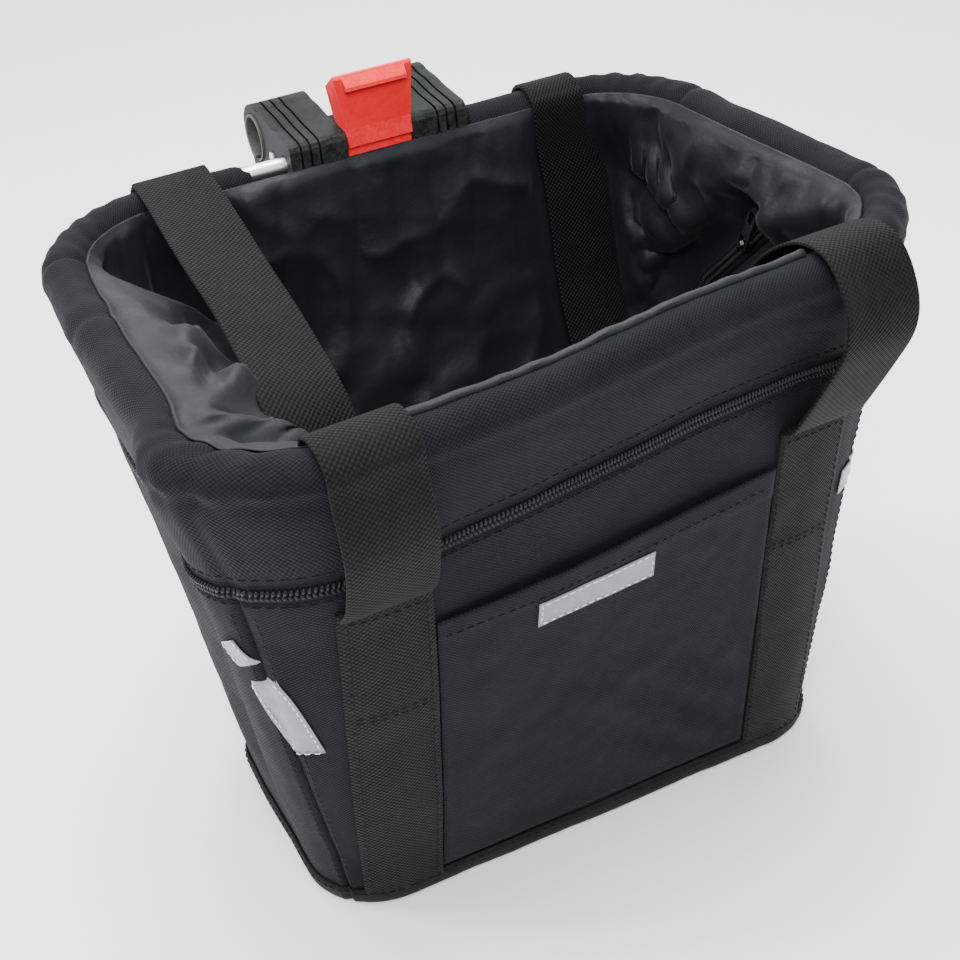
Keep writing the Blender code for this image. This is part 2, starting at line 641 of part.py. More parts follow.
def build_bracket(mats):
    body = cheek("bracket_body", LATCH_GAP_X, CHEEK_X, mats)
    left = cheek("cheek_left", -CHEEK_X, -LATCH_GAP_X, mats)
    bar = [(0.0105, -0.0080), (0.0105, 0.0060), (0.0125, 0.0080), (0.0280, 0.0080), (0.0280, -0.0080)]
    cross = prism("cross", bar, -0.0200, 0.0200, yz_frame(), mats["bracket"])
    combine(body, [cross, left], "UNION")
    bore = prism("bore", circle(BAR_BACK, 0, BAR_BORE, 32), -0.08, 0.08, yz_frame(), mats["bracket"])
    split_half = 0.0011
    split = [(BAR_BACK - split_half, -0.040), (BAR_BACK + split_half, -0.040),
             (BAR_BACK + split_half, -0.008), (BAR_BACK - split_half, -0.008)]
    split = prism("split", split, -0.08, 0.08, yz_frame(), mats["bracket"])
    pivot = prism("pivot", circle(PIVOT_Y, PIVOT_Z, PIN_R + GAP, 12), -0.0272, 0.0272, yz_frame(),
                  mats["bracket"])
    tie = prism("tie", circle(0.0165, -0.0020, 0.0021 + GAP, 12), -0.08, 0.08, yz_frame(),
                mats["bracket"])
    cutters = [slot_cutter(mats), bore, split, pivot, tie]
    for x in (-CLAMP_X, CLAMP_X):
        frame = clamp_frame(x)
        cutters.append(turned("hole", [(0.0026, -0.03), (0.0026, 0.03)], frame, mats["steel"], 12))
        cutters.append(turned("seat", [(0.0047, 0.0055), (0.0047, 0.03)], frame, mats["steel"], 16))
        cutters.append(prism("nut_seat", circle(0, 0, 0.0049, 6), -0.03, -0.0055, frame, mats["steel"]))
    combine(body, cutters, "DIFFERENCE")

    head = CHEEK_X + 0.0012
    turned("tie_pin", [(0.0033, -head), (0.0033, -CHEEK_X - GAP / 2), (0.0021, -CHEEK_X - GAP / 2),
                       (0.0021, CHEEK_X + GAP / 2), (0.0033, CHEEK_X + GAP / 2), (0.0033, head)],
           yz_frame() @ Matrix.Translation((0.0165, -0.0020, 0)), mats["steel"], 14)
    build_clamp_hardware(mats)


CLAMP_X = (LATCH_GAP_X + CHEEK_X) / 2
CLAMP_DROP = -RING_R - 0.0048


def clamp_frame(x):
    """Clamp screw frame: local Z points back along +Y."""
    turn = Matrix(((1, 0, 0, 0), (0, 0, 1, 0), (0, -1, 0, 0), (0, 0, 0, 1)))
    return Matrix.Translation(at_tube(x, BAR_BACK, CLAMP_DROP)) @ turn


def build_clamp_hardware(mats):
    for side, x in (("left", -CLAMP_X), ("right", CLAMP_X)):
        frame = clamp_frame(x)
        screw = turned("clamp_screw_" + side,
                       [(0.0022, -0.0105), (0.0024, -0.0100), (0.0024, 0.0058), (0.0042, 0.0058),
                        (0.0042, 0.0098), (0.0038, 0.0102)], frame, mats["steel"], 16)
        socket = prism("socket", circle(0, 0, 0.0023, 6), 0.0075, 0.02, frame, mats["steel"])
        combine(screw, [socket], "DIFFERENCE")
        nut = prism("clamp_nut_" + side, circle(0, 0, 0.0045, 6), -0.0095, -0.0058, frame, mats["steel"])
        hole = turned("hole", [(0.0027, -0.03), (0.0027, 0.03)], frame, mats["steel"], 14)
        combine(nut, [hole], "DIFFERENCE")

        half = (CHEEK_X - LATCH_GAP_X) / 2 + 0.0010
        opening = 12
        start, end = -90 + opening, 270 - opening
        outer = circle(BAR_BACK, 0, BAR_BORE - GAP, 30, start, end, closed=False)
        inner = circle(BAR_BACK, 0, SHIM_BORE, 30, start, end, closed=False)
        frame = yz_frame(x)
        grids = []
        for ring in (outer, inner):
            grids.append([[frame @ Vector((p[0], p[1], w)) for p in ring] for w in (-half, half)])
        shell("clamp_shim_" + side, grids[0], grids[1], mats["shim"])


# ---------------------------------------------------------------- latch
LEVER_FLARE = 0.22          # the lever is this much wider at its top than between the cheeks
FLARE_FROM = 0.0136
LEVER_TALL = 0.0284


def lever_slab(name, polygon, low, high, mats):
    """Slab of the lever between two x values, widening upward above the cheeks."""
    rings = []
    for x in (low, high):
        ring = []
        for y, z in polygon:
            grow = 1 + LEVER_FLARE * (z - FLARE_FROM) / LEVER_TALL
            ring.append(at_tube(x * grow, y, z))
        rings.append(ring)
    return loft(name, rings, mats["red"])


def build_latch(mats):
    """Red press lever: a wide plate, a lug on the pivot pin and a jaw that hooks under the tube."""
    reach = TUBE_R + 0.0007
    hook = [(reach * math.cos(math.radians(a)), reach * math.sin(math.radians(a)))
            for a in range(125, 229, 17)]
    profile = [(-0.0120, 0.0050), (-0.0118, 0.0142), (-0.0050, 0.0146), (0.0005, 0.0142), (0.0036, 0.0124),
               (0.0048, 0.0095), (0.0036, 0.0064), (0.0010, 0.0054)]
    profile += hook + [(-0.0035, -0.0041), (-0.0040, -0.0076), (-0.0080, -0.0076), (-0.0096, -0.0058),
                       (-0.0096, 0.0040)]
    half = LATCH_GAP_X - 0.0004
    lever = prism("latch_lever", profile, -half, half, yz_frame(), mats["red"])
    inset = 0.00005
    plate = lever_slab("plate", [(-0.0117, FLARE_FROM), (-0.0112, 0.0408), (-0.0104, 0.0420),
                                 (-0.0082, 0.0420), (-0.0086, FLARE_FROM)], inset - half, half - inset, mats)
    wall = [(-0.0100, 0.0138), (-0.0100, 0.0412), (-0.0080, 0.0412), (0.0052, 0.0330), (0.0058, 0.0170),
            (0.0030, 0.0138)]
    thick, inset = 0.0026, 0.00009
    walls = [lever_slab("wall", wall, low, low + thick, mats)
             for low in (inset - half, half - thick - inset)]
    lip = [(-0.0100, 0.0335), (-0.0152, 0.0352), (-0.0150, 0.0370), (-0.0106, 0.0416), (-0.0095, 0.0416)]
    lip = lever_slab("lip", lip, 0.0035 - half, half - 0.0035, mats)
    combine(lever, [plate] + walls + [lip], "UNION")
    bore = prism("bore", circle(PIVOT_Y, PIVOT_Z, PIN_R + GAP / 2, 14), -0.08, 0.08, yz_frame(),
                 mats["red"])
    pocket = [(PIVOT_Y - 0.0042, 0.0030), (0.02, 0.0030), (0.02, 0.0180), (PIVOT_Y - 0.0042, 0.0180)]
    pocket = prism("pocket", pocket, -0.0065, 0.0065, yz_frame(), mats["red"])
    combine(lever, [bore, pocket], "DIFFERENCE")

    reach = 0.0262
    turned("latch_pin", [(PIN_R - 0.0003, -reach), (PIN_R, -reach + 0.0006), (PIN_R, reach - 0.0006),
                         (PIN_R - 0.0003, reach)],
           yz_frame() @ Matrix.Translation((PIVOT_Y, PIVOT_Z, 0)), mats["steel"], 14)
    build_latch_spring(mats)


def build_latch_spring(mats):
    """Torsion spring on the pivot pin: one leg rests on the cross bar, the other stands up."""
    coil_r, wire_r, turns, steps = 0.0027, 0.0005, 5, 10
    half = 0.0045
    points = []
    total = turns * steps
    for k in range(total + 1):
        angle = 2 * math.pi * k / steps
        x = lerp(-half, half, k / total)
        points.append(Vector((x, PIVOT_Y + coil_r * math.cos(angle), PIVOT_Z + coil_r * math.sin(angle))))
    up = [points[0] + Vector((-0.0003, 0.0, 0.0090)), points[0] + Vector((-0.0002, 0.0, 0.0030))]
    down = [points[-1] + Vector((0.0003, 0.0035, -0.0005)), points[-1] + Vector((0.0004, 0.0064, -0.0004))]
    path = [at_tube(*p) for p in up + points + down]
    rings = []
    for i, point in enumerate(path):
        tangent = (path[min(i + 1, len(path) - 1)] - path[max(i - 1, 0)]).normalized()
        side = tangent.cross(Vector((1, 0, 0))).normalized()
        third = tangent.cross(side)
        rings.append([point + wire_r * (math.cos(a) * side + math.sin(a) * third)
                      for a in (2 * math.pi * k / 6 for k in range(6))])
    loft("latch_spring", rings, mats["steel"])


def main():
    clear_scene()
    mats = {
        "fabric": material("black_polyester", (0.020, 0.020, 0.024), 0.85),
        "webbing": material("black_webbing", (0.028, 0.030, 0.028), 0.80),
        "lining": material("slate_lining", (0.060, 0.066, 0.080), 0.45),
        "board": material("stiffener_board", (0.25, 0.25, 0.24), 0.60),
        "zip": material("zipper_coil", (0.015, 0.015, 0.017), 0.50),
        "gunmetal": material("gunmetal", (0.10, 0.10, 0.11), 0.35, 1.0),
        "reflective": material("reflective_tape", (0.40, 0.41, 0.42), 0.35, 0.3),
        "aluminium": material("aluminium", (0.80, 0.81, 0.82), 0.28, 1.0),
        "steel": material("zinc_steel", (0.55, 0.55, 0.56), 0.30, 1.0),
        "bracket": material("black_nylon", (0.022, 0.024, 0.024), 0.42),
        "shim": material("shim_nylon", (0.03, 0.03, 0.03), 0.50),
        "red": material("red_nylon", (0.72, 0.035, 0.045), 0.38),
    }
    build_rim(mats)
    build_walls(mats)
    build_handles(mats)
    build_pocket(mats)
    build_front_zipper(mats)
    build_inner_zipper(mats)
    build_bracket(mats)
    build_latch(mats)


main()
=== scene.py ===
import json
import math

import bmesh
import bpy
from mathutils import Matrix, Vector, noise


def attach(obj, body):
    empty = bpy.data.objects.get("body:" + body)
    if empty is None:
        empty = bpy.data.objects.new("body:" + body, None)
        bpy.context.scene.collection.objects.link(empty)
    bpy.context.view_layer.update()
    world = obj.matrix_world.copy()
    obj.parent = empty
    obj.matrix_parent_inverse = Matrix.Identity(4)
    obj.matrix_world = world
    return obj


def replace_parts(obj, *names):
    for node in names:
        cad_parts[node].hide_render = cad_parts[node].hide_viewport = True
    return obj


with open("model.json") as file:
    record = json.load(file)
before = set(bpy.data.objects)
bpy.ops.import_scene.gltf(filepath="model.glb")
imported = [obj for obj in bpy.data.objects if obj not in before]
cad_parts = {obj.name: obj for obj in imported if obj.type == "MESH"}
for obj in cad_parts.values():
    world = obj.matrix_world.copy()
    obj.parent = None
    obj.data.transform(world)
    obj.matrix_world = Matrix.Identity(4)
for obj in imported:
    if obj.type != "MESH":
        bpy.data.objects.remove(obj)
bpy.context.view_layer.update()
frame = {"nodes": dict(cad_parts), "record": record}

# ---------------------------------------------------------------- dimensions, as in the CAD source
RIM_X, RIM_Y, RIM_Z, ROLL_R = 0.173, 0.127, 0.298, 0.011
RIM_R_FRONT, RIM_R_BACK = 0.068, 0.055
WALL_OUT = 0.007
BASE_X, BASE_Y, BASE_R_FRONT, BASE_R_BACK = 0.142, 0.076, 0.036, 0.030
TUBE_R, TUBE_UP = 0.0045, 0.0055
SLEEVE_LEFT, SLEEVE_RIGHT = -0.068, 0.050
ZIP_Z, ZIP_HALF = 0.238, 0.0062
STRAP_X, STRAP_W, STRAP_T, STITCH_Z = 0.1065, 0.038, 0.0020, 0.2205
POCKET_HALF, POCKET_TOP, POCKET_LOW, POCKET_BOW = 0.0865, 0.200, 0.016, 0.0030
LINING_IN = 0.0085
LINING_EASE, LINING_TURNED = 0.07, 0.012    # cut this much fuller each way; turned over the roll
FLOOR_Z = 0.0072
CLOTH_GRID, THREAD_R = 0.003, 0.00032
COIL_PITCH, COIL_REACH, COIL_FAT = 0.0018, 0.0030, 0.00085
INNER_ZIP_Y, INNER_ZIP_Z, INNER_ZIP_IN = 0.0300, 0.238, 0.0090

# ---------------------------------------------------------------- camera
CAM_AZ, CAM_EL, CAM_ROLL = -22.81, 33.80, -5.70
CAM_DIST, CAM_X, CAM_Z, CAM_LENS = 0.8688, -0.0132, 0.1718, 65.89


def make_camera():
    az, el, roll = (math.radians(v) for v in (CAM_AZ, CAM_EL, CAM_ROLL))
    back = Vector((math.sin(az) * math.cos(el), -math.cos(az) * math.cos(el), math.sin(el)))
    right = (-back).cross(Vector((0, 0, 1))).normalized()
    up = right.cross(-back)
    across = math.cos(roll) * right + math.sin(roll) * up
    upward = -math.sin(roll) * right + math.cos(roll) * up
    data = bpy.data.cameras.new("camera")
    data.lens, data.sensor_width = CAM_LENS, 36.0
    data.clip_start, data.clip_end = 0.05, 20.0
    camera = bpy.data.objects.new("camera", data)
    camera.rotation_mode = "QUATERNION"
    camera.rotation_quaternion = Matrix((across, upward, back)).transposed().to_quaternion()
    camera.location = Vector((CAM_X, 0, CAM_Z)) + back * CAM_DIST
    bpy.context.scene.collection.objects.link(camera)
    bpy.context.scene.camera = camera


make_camera()


# ---------------------------------------------------------------- material helpers
class Nodes:
    """Short names for building one material's node tree."""

    def __init__(self, name, base, roughness, metallic=0.0):
        self.mat = bpy.data.materials.new(name)
        self.mat.use_nodes = True
        self.tree = self.mat.node_tree
        self.shader = self.tree.nodes["Principled BSDF"]
        self.set(self.shader, "Base Color", (*base, 1.0))
        self.set(self.shader, "Roughness", roughness)
        self.set(self.shader, "Metallic", metallic)

    def set(self, node, name, value):
        socket = node.inputs[name]
        if isinstance(value, bpy.types.NodeSocket):
            self.tree.links.new(value, socket)
        else:
            socket.default_value = value

    def add(self, kind, **inputs):
        node = self.tree.nodes.new(kind)
        for name, value in inputs.items():
            self.set(node, name.replace("_", " "), value)
        return node

    def math(self, operation, a, b=0.0, c=None):
        node = self.tree.nodes.new("ShaderNodeMath")
        node.operation = operation
        values = (a, b) if c is None else (a, b, c)
        for i, value in enumerate(values):
            self.set(node, i, value)
        return node.outputs[0]

    def span(self, value, low, high, to_low, to_high):
        node = self.tree.nodes.new("ShaderNodeMapRange")
        for name, v in (("Value", value), ("From Min", low), ("From Max", high),
                        ("To Min", to_low), ("To Max", to_high)):
            self.set(node, name, v)
        return node.outputs["Result"]

    def mix(self, factor, a, b):
        node = self.tree.nodes.new("ShaderNodeMix")
        node.data_type = "RGBA"
        self.set(node, 0, factor)
        for i, colour in ((6, a), (7, b)):
            self.set(node, i, (*colour, 1.0) if isinstance(colour, tuple) else colour)
        return node.outputs[2]

    def noise(self, vector, scale, detail=3.0, roughness=0.5, distortion=0.0):
        node = self.add("ShaderNodeTexNoise", Vector=vector, Scale=scale, Detail=detail,
                        Roughness=roughness, Distortion=distortion)
        return node.outputs["Fac"]

    def place(self):
        return self.add("ShaderNodeTexCoord").outputs["Object"]

    def cloth(self):
        """Lengths along and across the cloth, in metres, stored on each piece."""
        node = self.tree.nodes.new("ShaderNodeAttribute")
        node.attribute_name = "cloth"
        return node.outputs["Vector"]

    def bump(self, height, distance, strength=1.0, under=None):
        node = self.add("ShaderNodeBump", Height=height, Distance=distance, Strength=strength)
        if under is not None:
            self.set(node, "Normal", under)
        return node.outputs["Normal"]

    def weave(self, pitch_s, pitch_t):
        """Basket weave between 0 and 1: raised threads alternate along and across the cloth."""
        split = self.add("ShaderNodeSeparateXYZ", Vector=self.cloth())
        s = self.math("SINE", self.math("MULTIPLY", split.outputs[0], 2 * math.pi / pitch_s))
        t = self.math("SINE", self.math("MULTIPLY", split.outputs[1], 2 * math.pi / pitch_t))
        return self.math("MULTIPLY_ADD", self.math("MULTIPLY", s, t), 0.5, 0.5)


def woven(name, valley_shade, light, pitch, depth, roughness, sheen, sharp=1.5):
    """Woven black cloth: painted highlight on the raised threads and painted shade between them; the colour
    also drifts a little over the piece.
    """
    n = Nodes(name, light, roughness)
    threads = n.weave(*pitch)
    drift = n.noise(n.place(), 22.0, 4.0, 0.6)
    fuzz = n.noise(n.place(), 900.0, 2.0, 0.6)
    # painted light and shade: the raised threads are coloured lighter as if lit, the gaps between them as if
    # shaded
    weave_light_and_shade = n.mix(n.math("POWER", threads, sharp), valley_shade, light)
    worn = n.mix(n.span(drift, 0.3, 0.75, 0.0, 0.55), weave_light_and_shade, tuple(c * 1.5 for c in light))
    n.set(n.shader, "Base Color", n.mix(n.span(fuzz, 0.45, 0.8, 0.0, 0.30), worn,
                                        tuple(c * 1.8 for c in light)))
    n.set(n.shader, "Roughness", n.span(threads, 0.0, 1.0, min(1.0, roughness + 0.12), roughness - 0.10))
    first = n.bump(n.noise(n.place(), 60.0, 3.0, 0.5), 0.0012, 0.35)
    n.set(n.shader, "Normal", n.bump(threads, depth, 0.9, first))
    n.set(n.shader, "Sheen Weight", sheen)
    n.set(n.shader, "Sheen Roughness", 0.40)
    n.set(n.shader, "Specular IOR Level", 0.10)
    return n.mat


def satin(name, deep, pale):
    """Thin lining nylon: fine weave, satin gloss and creases too small for the mesh."""
    n = Nodes(name, pale, 0.42)
    threads = n.weave(0.0009, 0.0009)
    drift = n.noise(n.place(), 14.0, 3.0, 0.5)
    creases = n.noise(n.place(), 70.0, 4.0, 0.60)
    n.set(n.shader, "Base Color", n.mix(n.span(drift, 0.3, 0.7, 0.0, 1.0), deep, pale))
    n.set(n.shader, "Roughness", n.span(creases, 0.3, 0.7, 0.40, 0.52))
    first = n.bump(creases, 0.0022, 0.35)
    n.set(n.shader, "Normal", n.bump(threads, 0.00002, 0.3, first))
    n.set(n.shader, "Specular IOR Level", 0.15)
    n.set(n.shader, "Sheen Weight", 0.05)
    n.set(n.shader, "Sheen Roughness", 0.35)
    return n.mat


def moulded(name, colour, roughness, grain, level=0.12):
    """Injection moulded plastic: fine spark grain, flow marks and paler rubbed edges."""
    n = Nodes(name, colour, roughness)
    place = n.place()
    fine = n.noise(place, 1500.0, 2.0, 0.5)
    cloudy = n.noise(place, 45.0, 4.0, 0.6)
    scuffs = n.noise(place, 260.0, 5.0, 0.7, 1.2)
    edge = n.add("ShaderNodeNewGeometry").outputs["Pointiness"]
    rubbed = n.math("MULTIPLY", n.span(edge, 0.51, 0.58, 0.0, 1.0), n.span(scuffs, 0.35, 0.65, 0.1, 1.0))
    cloud = tuple(min(1.0, c * 1.25 + 0.004) for c in colour)
    body = n.mix(n.span(cloudy, 0.35, 0.7, 0.0, 0.5), colour, cloud)
    n.set(n.shader, "Base Color", n.mix(n.math("MULTIPLY", rubbed, 0.45), body,
                                        tuple(min(1.0, c * 1.5 + 0.05) for c in colour)))
    n.set(n.shader, "Roughness", n.span(scuffs, 0.3, 0.7, roughness - 0.07, roughness + 0.10))
    n.set(n.shader, "Normal", n.bump(fine, grain, 0.5))
    n.set(n.shader, "Specular IOR Level", level)
    return n.mat


def metal(name, colour, roughness, stretch):
    """Drawn or plated metal with fine lines along one axis and a few dull patches."""
    n = Nodes(name, colour, roughness, 1.0)
    lay = n.add("ShaderNodeMapping", Vector=n.place(), Scale=stretch).outputs["Vector"]
    lines = n.noise(lay, 300.0, 3.0, 0.6)
    patches = n.noise(n.place(), 90.0, 4.0, 0.6)
    n.set(n.shader, "Base Color", n.mix(n.span(patches, 0.35, 0.75, 0.0, 0.5), colour,
                                        tuple(c * 0.72 for c in colour)))
    n.set(n.shader, "Roughness", n.math("ADD", n.span(lines, 0.3, 0.7, roughness - 0.08, roughness + 0.08),
                                        n.span(patches, 0.4, 0.8, 0.0, 0.12)))
    n.set(n.shader, "Normal", n.bump(lines, 0.00005, 0.4))
    return n.mat


def reflective(name):
    """Silver tape: a fine honeycomb of cells under a clear face, slightly dirty."""
    n = Nodes(name, (0.42, 0.43, 0.44), 0.34, 0.25)
    cells = n.add("ShaderNodeTexVoronoi", Vector=n.cloth(), Scale=900.0).outputs["Distance"]
    dirt = n.noise(n.place(), 120.0, 4.0, 0.6)
    n.set(n.shader, "Base Color", n.mix(n.span(dirt, 0.35, 0.75, 0.0, 0.6), (0.180, 0.188, 0.192),
                                        (0.110, 0.112, 0.114)))
    n.set(n.shader, "Normal", n.bump(cells, 0.0002, 0.4))
    n.set(n.shader, "Coat Weight", 0.3)
    return n.mat


def thread(name, colour):
    n = Nodes(name, colour, 0.65)
    twist = n.noise(n.place(), 2200.0, 2.0, 0.5)
    n.set(n.shader, "Base Color", n.mix(n.span(twist, 0.35, 0.65, 0.0, 1.0), tuple(c * 0.6 for c in colour),
                                        tuple(min(1.0, c * 1.3) for c in colour)))
    n.set(n.shader, "Normal", n.bump(twist, 0.0002, 0.6))
    n.set(n.shader, "Specular IOR Level", 0.15)
    return n.mat


MATS = {
    "fabric": woven("oxford_cloth", (0.0005, 0.0006, 0.0009), (0.0056, 0.0060, 0.0078), (0.0019, 0.0019),
                    0.00035, 0.76, 0.02),
    "webbing": woven("webbing", (0.0001, 0.0001, 0.0001), (0.0048, 0.0052, 0.0050), (0.0025, 0.0025),
                     0.00070, 0.66, 0.02, 2.6),
    "binding": woven("binding_tape", (0.0006, 0.0007, 0.0007), (0.0080, 0.0085, 0.0085), (0.0018, 0.0022),
                     0.00030, 0.72, 0.02),
    "tape": woven("zip_tape", (0.0006, 0.0006, 0.0008), (0.0055, 0.0055, 0.0064), (0.0014, 0.0014),
                  0.00020, 0.76, 0.02),
    "lining": satin("lining_nylon", (0.0062, 0.0071, 0.0083), (0.0105, 0.0120, 0.0138)),
    "coil": moulded("zip_coil", (0.010, 0.010, 0.011), 0.36, 0.00003),
    "bracket": moulded("bracket_nylon", (0.0022, 0.0026, 0.0026), 0.52, 0.00008, 0.06),
    "shim": moulded("shim_nylon", (0.045, 0.045, 0.042), 0.50, 0.00008),
    "red": moulded("latch_nylon", (0.60, 0.004, 0.010), 0.42, 0.00004, 0.16),
    "board": moulded("board_plastic", (0.24, 0.24, 0.23), 0.60, 0.00010),
    "aluminium": metal("drawn_aluminium", (0.86, 0.87, 0.88), 0.26, (0.04, 1.0, 1.0)),
    "steel": metal("zinc_steel", (0.56, 0.56, 0.58), 0.26, (1.0, 1.0, 1.0)),
    "gunmetal": metal("gunmetal_zinc", (0.13, 0.13, 0.14), 0.32, (1.0, 1.0, 0.3)),
    "reflective": reflective("reflective_tape"),
    "thread": thread("black_thread", (0.0060, 0.0062, 0.0070)),
    "pale_thread": thread("pale_thread", (0.62, 0.63, 0.62)),
}


# ---------------------------------------------------------------- settled shape
SWING_FRONT, DRAW_RIGHT, BULGE_LEFT = 0.0156, 0.015, 0.005
CORNER_OUT, CORNER_BACK, SPREAD_FRONT = 0.018, 0.011, 0.009


def step(a, b, x):
    t = min(1.0, max(0.0, (x - a) / (b - a)))
    return t * t * (3 - 2 * t)


def settle(point):
    """Where a point of the soft basket really lies: the rim has settled out of its plain outline.

    The front edge swings forward on the left, the front left corner is pushed out, and above the
    zipper the right side draws in towards the back. All of it fades out down to the base.
    """
    t = min(1.0, max(0.0, point.z / RIM_Z))
    half_x, half_y = wall_sizes(t * RIM_Z)[:2]
    across, deep = point.x / half_x, point.y / half_y
    front, back = step(0.15, -0.85, deep), step(-0.70, 0.90, deep)
    left, right = step(-0.35, -0.90, across), step(0.35, 0.90, across)
    corner = step(-0.69, -0.96, across) * step(-0.42, -0.85, deep)
    dx = -t * (BULGE_LEFT * left * step(0.95, 0.2, deep) + CORNER_OUT * corner)
    dx -= t * t * SPREAD_FRONT * step(-0.15, -0.50, across) * step(-0.96, -0.75, across) * front
    dx -= DRAW_RIGHT * right * back * step(0.258, 0.292, point.z)
    dy = t * (front * SWING_FRONT * math.tanh(2 * across) + CORNER_BACK * corner)
    return Vector((point.x + dx, point.y + dy, point.z))


# ---------------------------------------------------------------- mesh helpers
def finish_piece(name, verts, faces, coords, mat, smooth=40.0):
    """Make a piece of the basket; coords holds the cloth coordinates of every face corner in order."""
    mesh = bpy.data.meshes.new(name)
    mesh.from_pydata([tuple(settle(v)) for v in verts], [], faces)
    if coords is not None:
        layer = mesh.attributes.new("cloth", "FLOAT_VECTOR", "CORNER")
        layer.data.foreach_set("vector", [x for c in coords for x in (c[0], c[1], 0.0)])
    mesh.shade_smooth()
    if smooth < 180:
        mesh.set_sharp_from_angle(angle=math.radians(smooth))
    mesh.materials.append(MATS[mat])
    obj = bpy.data.objects.new(name, mesh)
    bpy.context.scene.collection.objects.link(obj)
    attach(obj, "basket")
    return obj


def lengths(points):
    total, out = 0.0, [0.0]
    for a, b in zip(points, points[1:]):
        total += (b - a).length
        out.append(total)
    return out


def sheet_mesh(name, rows, mat, thick=0.0015, wrap=False):
    """Grid of points made into cloth with thickness; the rows' right-hand side faces out."""
    count_r, count_c = len(rows), len(rows[0])
    middle = rows[count_r // 2]
    s = lengths(middle + [middle[0]] if wrap else middle)
    t = lengths([row[count_c // 2] for row in rows])
    verts = [p for row in rows for p in row]
    faces, coords = [], []
    for i in range(count_r - 1):
        for j in range(count_c if wrap else count_c - 1):
            k = (j + 1) % count_c
            faces.append((i * count_c + j, i * count_c + k, (i + 1) * count_c + k, (i + 1) * count_c + j))
            coords += [(s[j], t[i]), (s[j + 1], t[i]), (s[j + 1], t[i + 1]), (s[j], t[i + 1])]
    obj = finish_piece(name, verts, faces, coords, mat)
    if thick:
        mod = obj.modifiers.new("thickness", "SOLIDIFY")
        mod.thickness = thick
        mod.offset = -1.0
    return obj


def tube_mesh(name, rings, mat):
    """Rings of points skinned into a solid with a cap at each end."""
    count = len(rings[0])
    around = lengths(rings[0] + [rings[0][0]])
    along = lengths([ring[0] for ring in rings])
    verts = [p for ring in rings for p in ring]
    faces, coords = [], []
    for i in range(len(rings) - 1):
        for j in range(count):
            k = (j + 1) % count
            faces.append((i * count + j, i * count + k, (i + 1) * count + k, (i + 1) * count + j))
            coords += [(around[j], along[i]), (around[j + 1], along[i]),
                       (around[j + 1], along[i + 1]), (around[j], along[i + 1])]
    for ring, order in ((0, reversed(range(count))), (len(rings) - 1, range(count))):
        faces.append(tuple(ring * count + j for j in order))
        coords += [(0.0, 0.0)] * count
    return finish_piece(name, verts, faces, coords, mat)


def smooth_path(points, per_span):
    """Catmull-Rom curve through the points."""
    ends = [2 * points[0] - points[1]] + points + [2 * points[-1] - points[-2]]
    result = []
    for i in range(1, len(ends) - 2):
        p0, p1, p2, p3 = ends[i - 1:i + 3]
        for k in range(per_span):
            t = k / per_span
            result.append(0.5 * (2 * p1 + (p2 - p0) * t + (2 * p0 - 5 * p1 + 4 * p2 - p3) * t ** 2
                                 + (3 * p1 - p0 - 3 * p2 + p3) * t ** 3))
    result.append(points[-1])
    return result


def lerp(a, b, t):
    return a + (b - a) * t


def rough(p, scale, octaves=3, seed=0.0):
    """Smooth noise between about -1 and 1 at a place, features about scale metres across."""
    q = Vector((p[0] / scale + seed, p[1] / scale - seed, p[2] / scale + 0.37 * seed))
    return noise.fractal(q, 0.9, 2.0, octaves)


# ---------------------------------------------------------------- basket surface
def outline(u, half_x, half_y, r_front, r_back):
    """Point and outward normal on a rounded rectangle; u as in the CAD source, 0-1 the front."""
    u %= 8.0
    part, t = int(u), u - int(u)
    centres = ((half_x - r_front, r_front - half_y), (half_x - r_back, half_y - r_back),
               (r_back - half_x, half_y - r_back), (r_front - half_x, r_front - half_y))
    if part % 2:
        cx, cy = centres[part // 2]
        radius = r_front if part in (1, 7) else r_back
        angle = math.radians(90 * (part // 2 - 1 + t))
        normal = Vector((math.cos(angle), math.sin(angle)))
        return Vector((cx, cy)) + radius * normal, normal
    angle = math.radians(90 * (part // 2 - 1))
    normal = Vector((math.cos(angle), math.sin(angle)))
    point = Vector(centres[(part // 2 - 1) % 4]).lerp(Vector(centres[part // 2]), t)
    axis = 1 if part in (0, 4) else 0
    point[axis] = (half_y if part in (0, 4) else half_x) * normal[axis]
    return point, normal


def wall_sizes(z):
    t = z / RIM_Z
    return (lerp(BASE_X, RIM_X + WALL_OUT, t), lerp(BASE_Y, RIM_Y + WALL_OUT, t),
            lerp(BASE_R_FRONT, RIM_R_FRONT + WALL_OUT, t), lerp(BASE_R_BACK, RIM_R_BACK + WALL_OUT, t))


def wall_point(u, z, proud=0.0):
    point, normal = outline(u, *wall_sizes(z))
    return Vector((*(point + normal * proud), z))


def u_at(x, z, side):
    """Outline parameter of the point at x on the front (side -1) or back (side 1)."""
    half_x, _, r_front, r_back = wall_sizes(z)
    radius = r_front if side < 0 else r_back
    flat = half_x - radius
    over = abs(x) - flat
    if over <= 0:
        t = (x + flat) / (2 * flat)
        return t if side < 0 else 4 + (1 - t)
    turn = math.asin(min(1.0, over / radius)) / (math.pi / 2)
    if side < 0:
        return 1 + turn if x > 0 else 8 - turn
    return 4 - turn if x > 0 else 5 + turn


def edge_length(start, end, z, inset):
    """Length of the plain outline between two places at one height, without relief, folds or sag."""
    points = [wall_point(u, z, -inset) for u in u_steps(start, end, 0.004)]
    return sum((b - a).length for a, b in zip(points, points[1:]))


def cut_panel(span, heights, inset=0.0, ease=0.0):
    """Work out a wall panel's cut size: its edge lengths on the plain outline and its slope. The values are
    only computed, not kept.
    """
    low, high = (edge_length(*span, z, inset) * (1 + ease) for z in heights)
    middle = (span[0] + span[1]) / 2
    slope = (wall_point(middle, heights[1], -inset) - wall_point(middle, heights[0], -inset)).length


def bell(x, centre, width):
    return math.exp(-((x - centre) / width) ** 2)


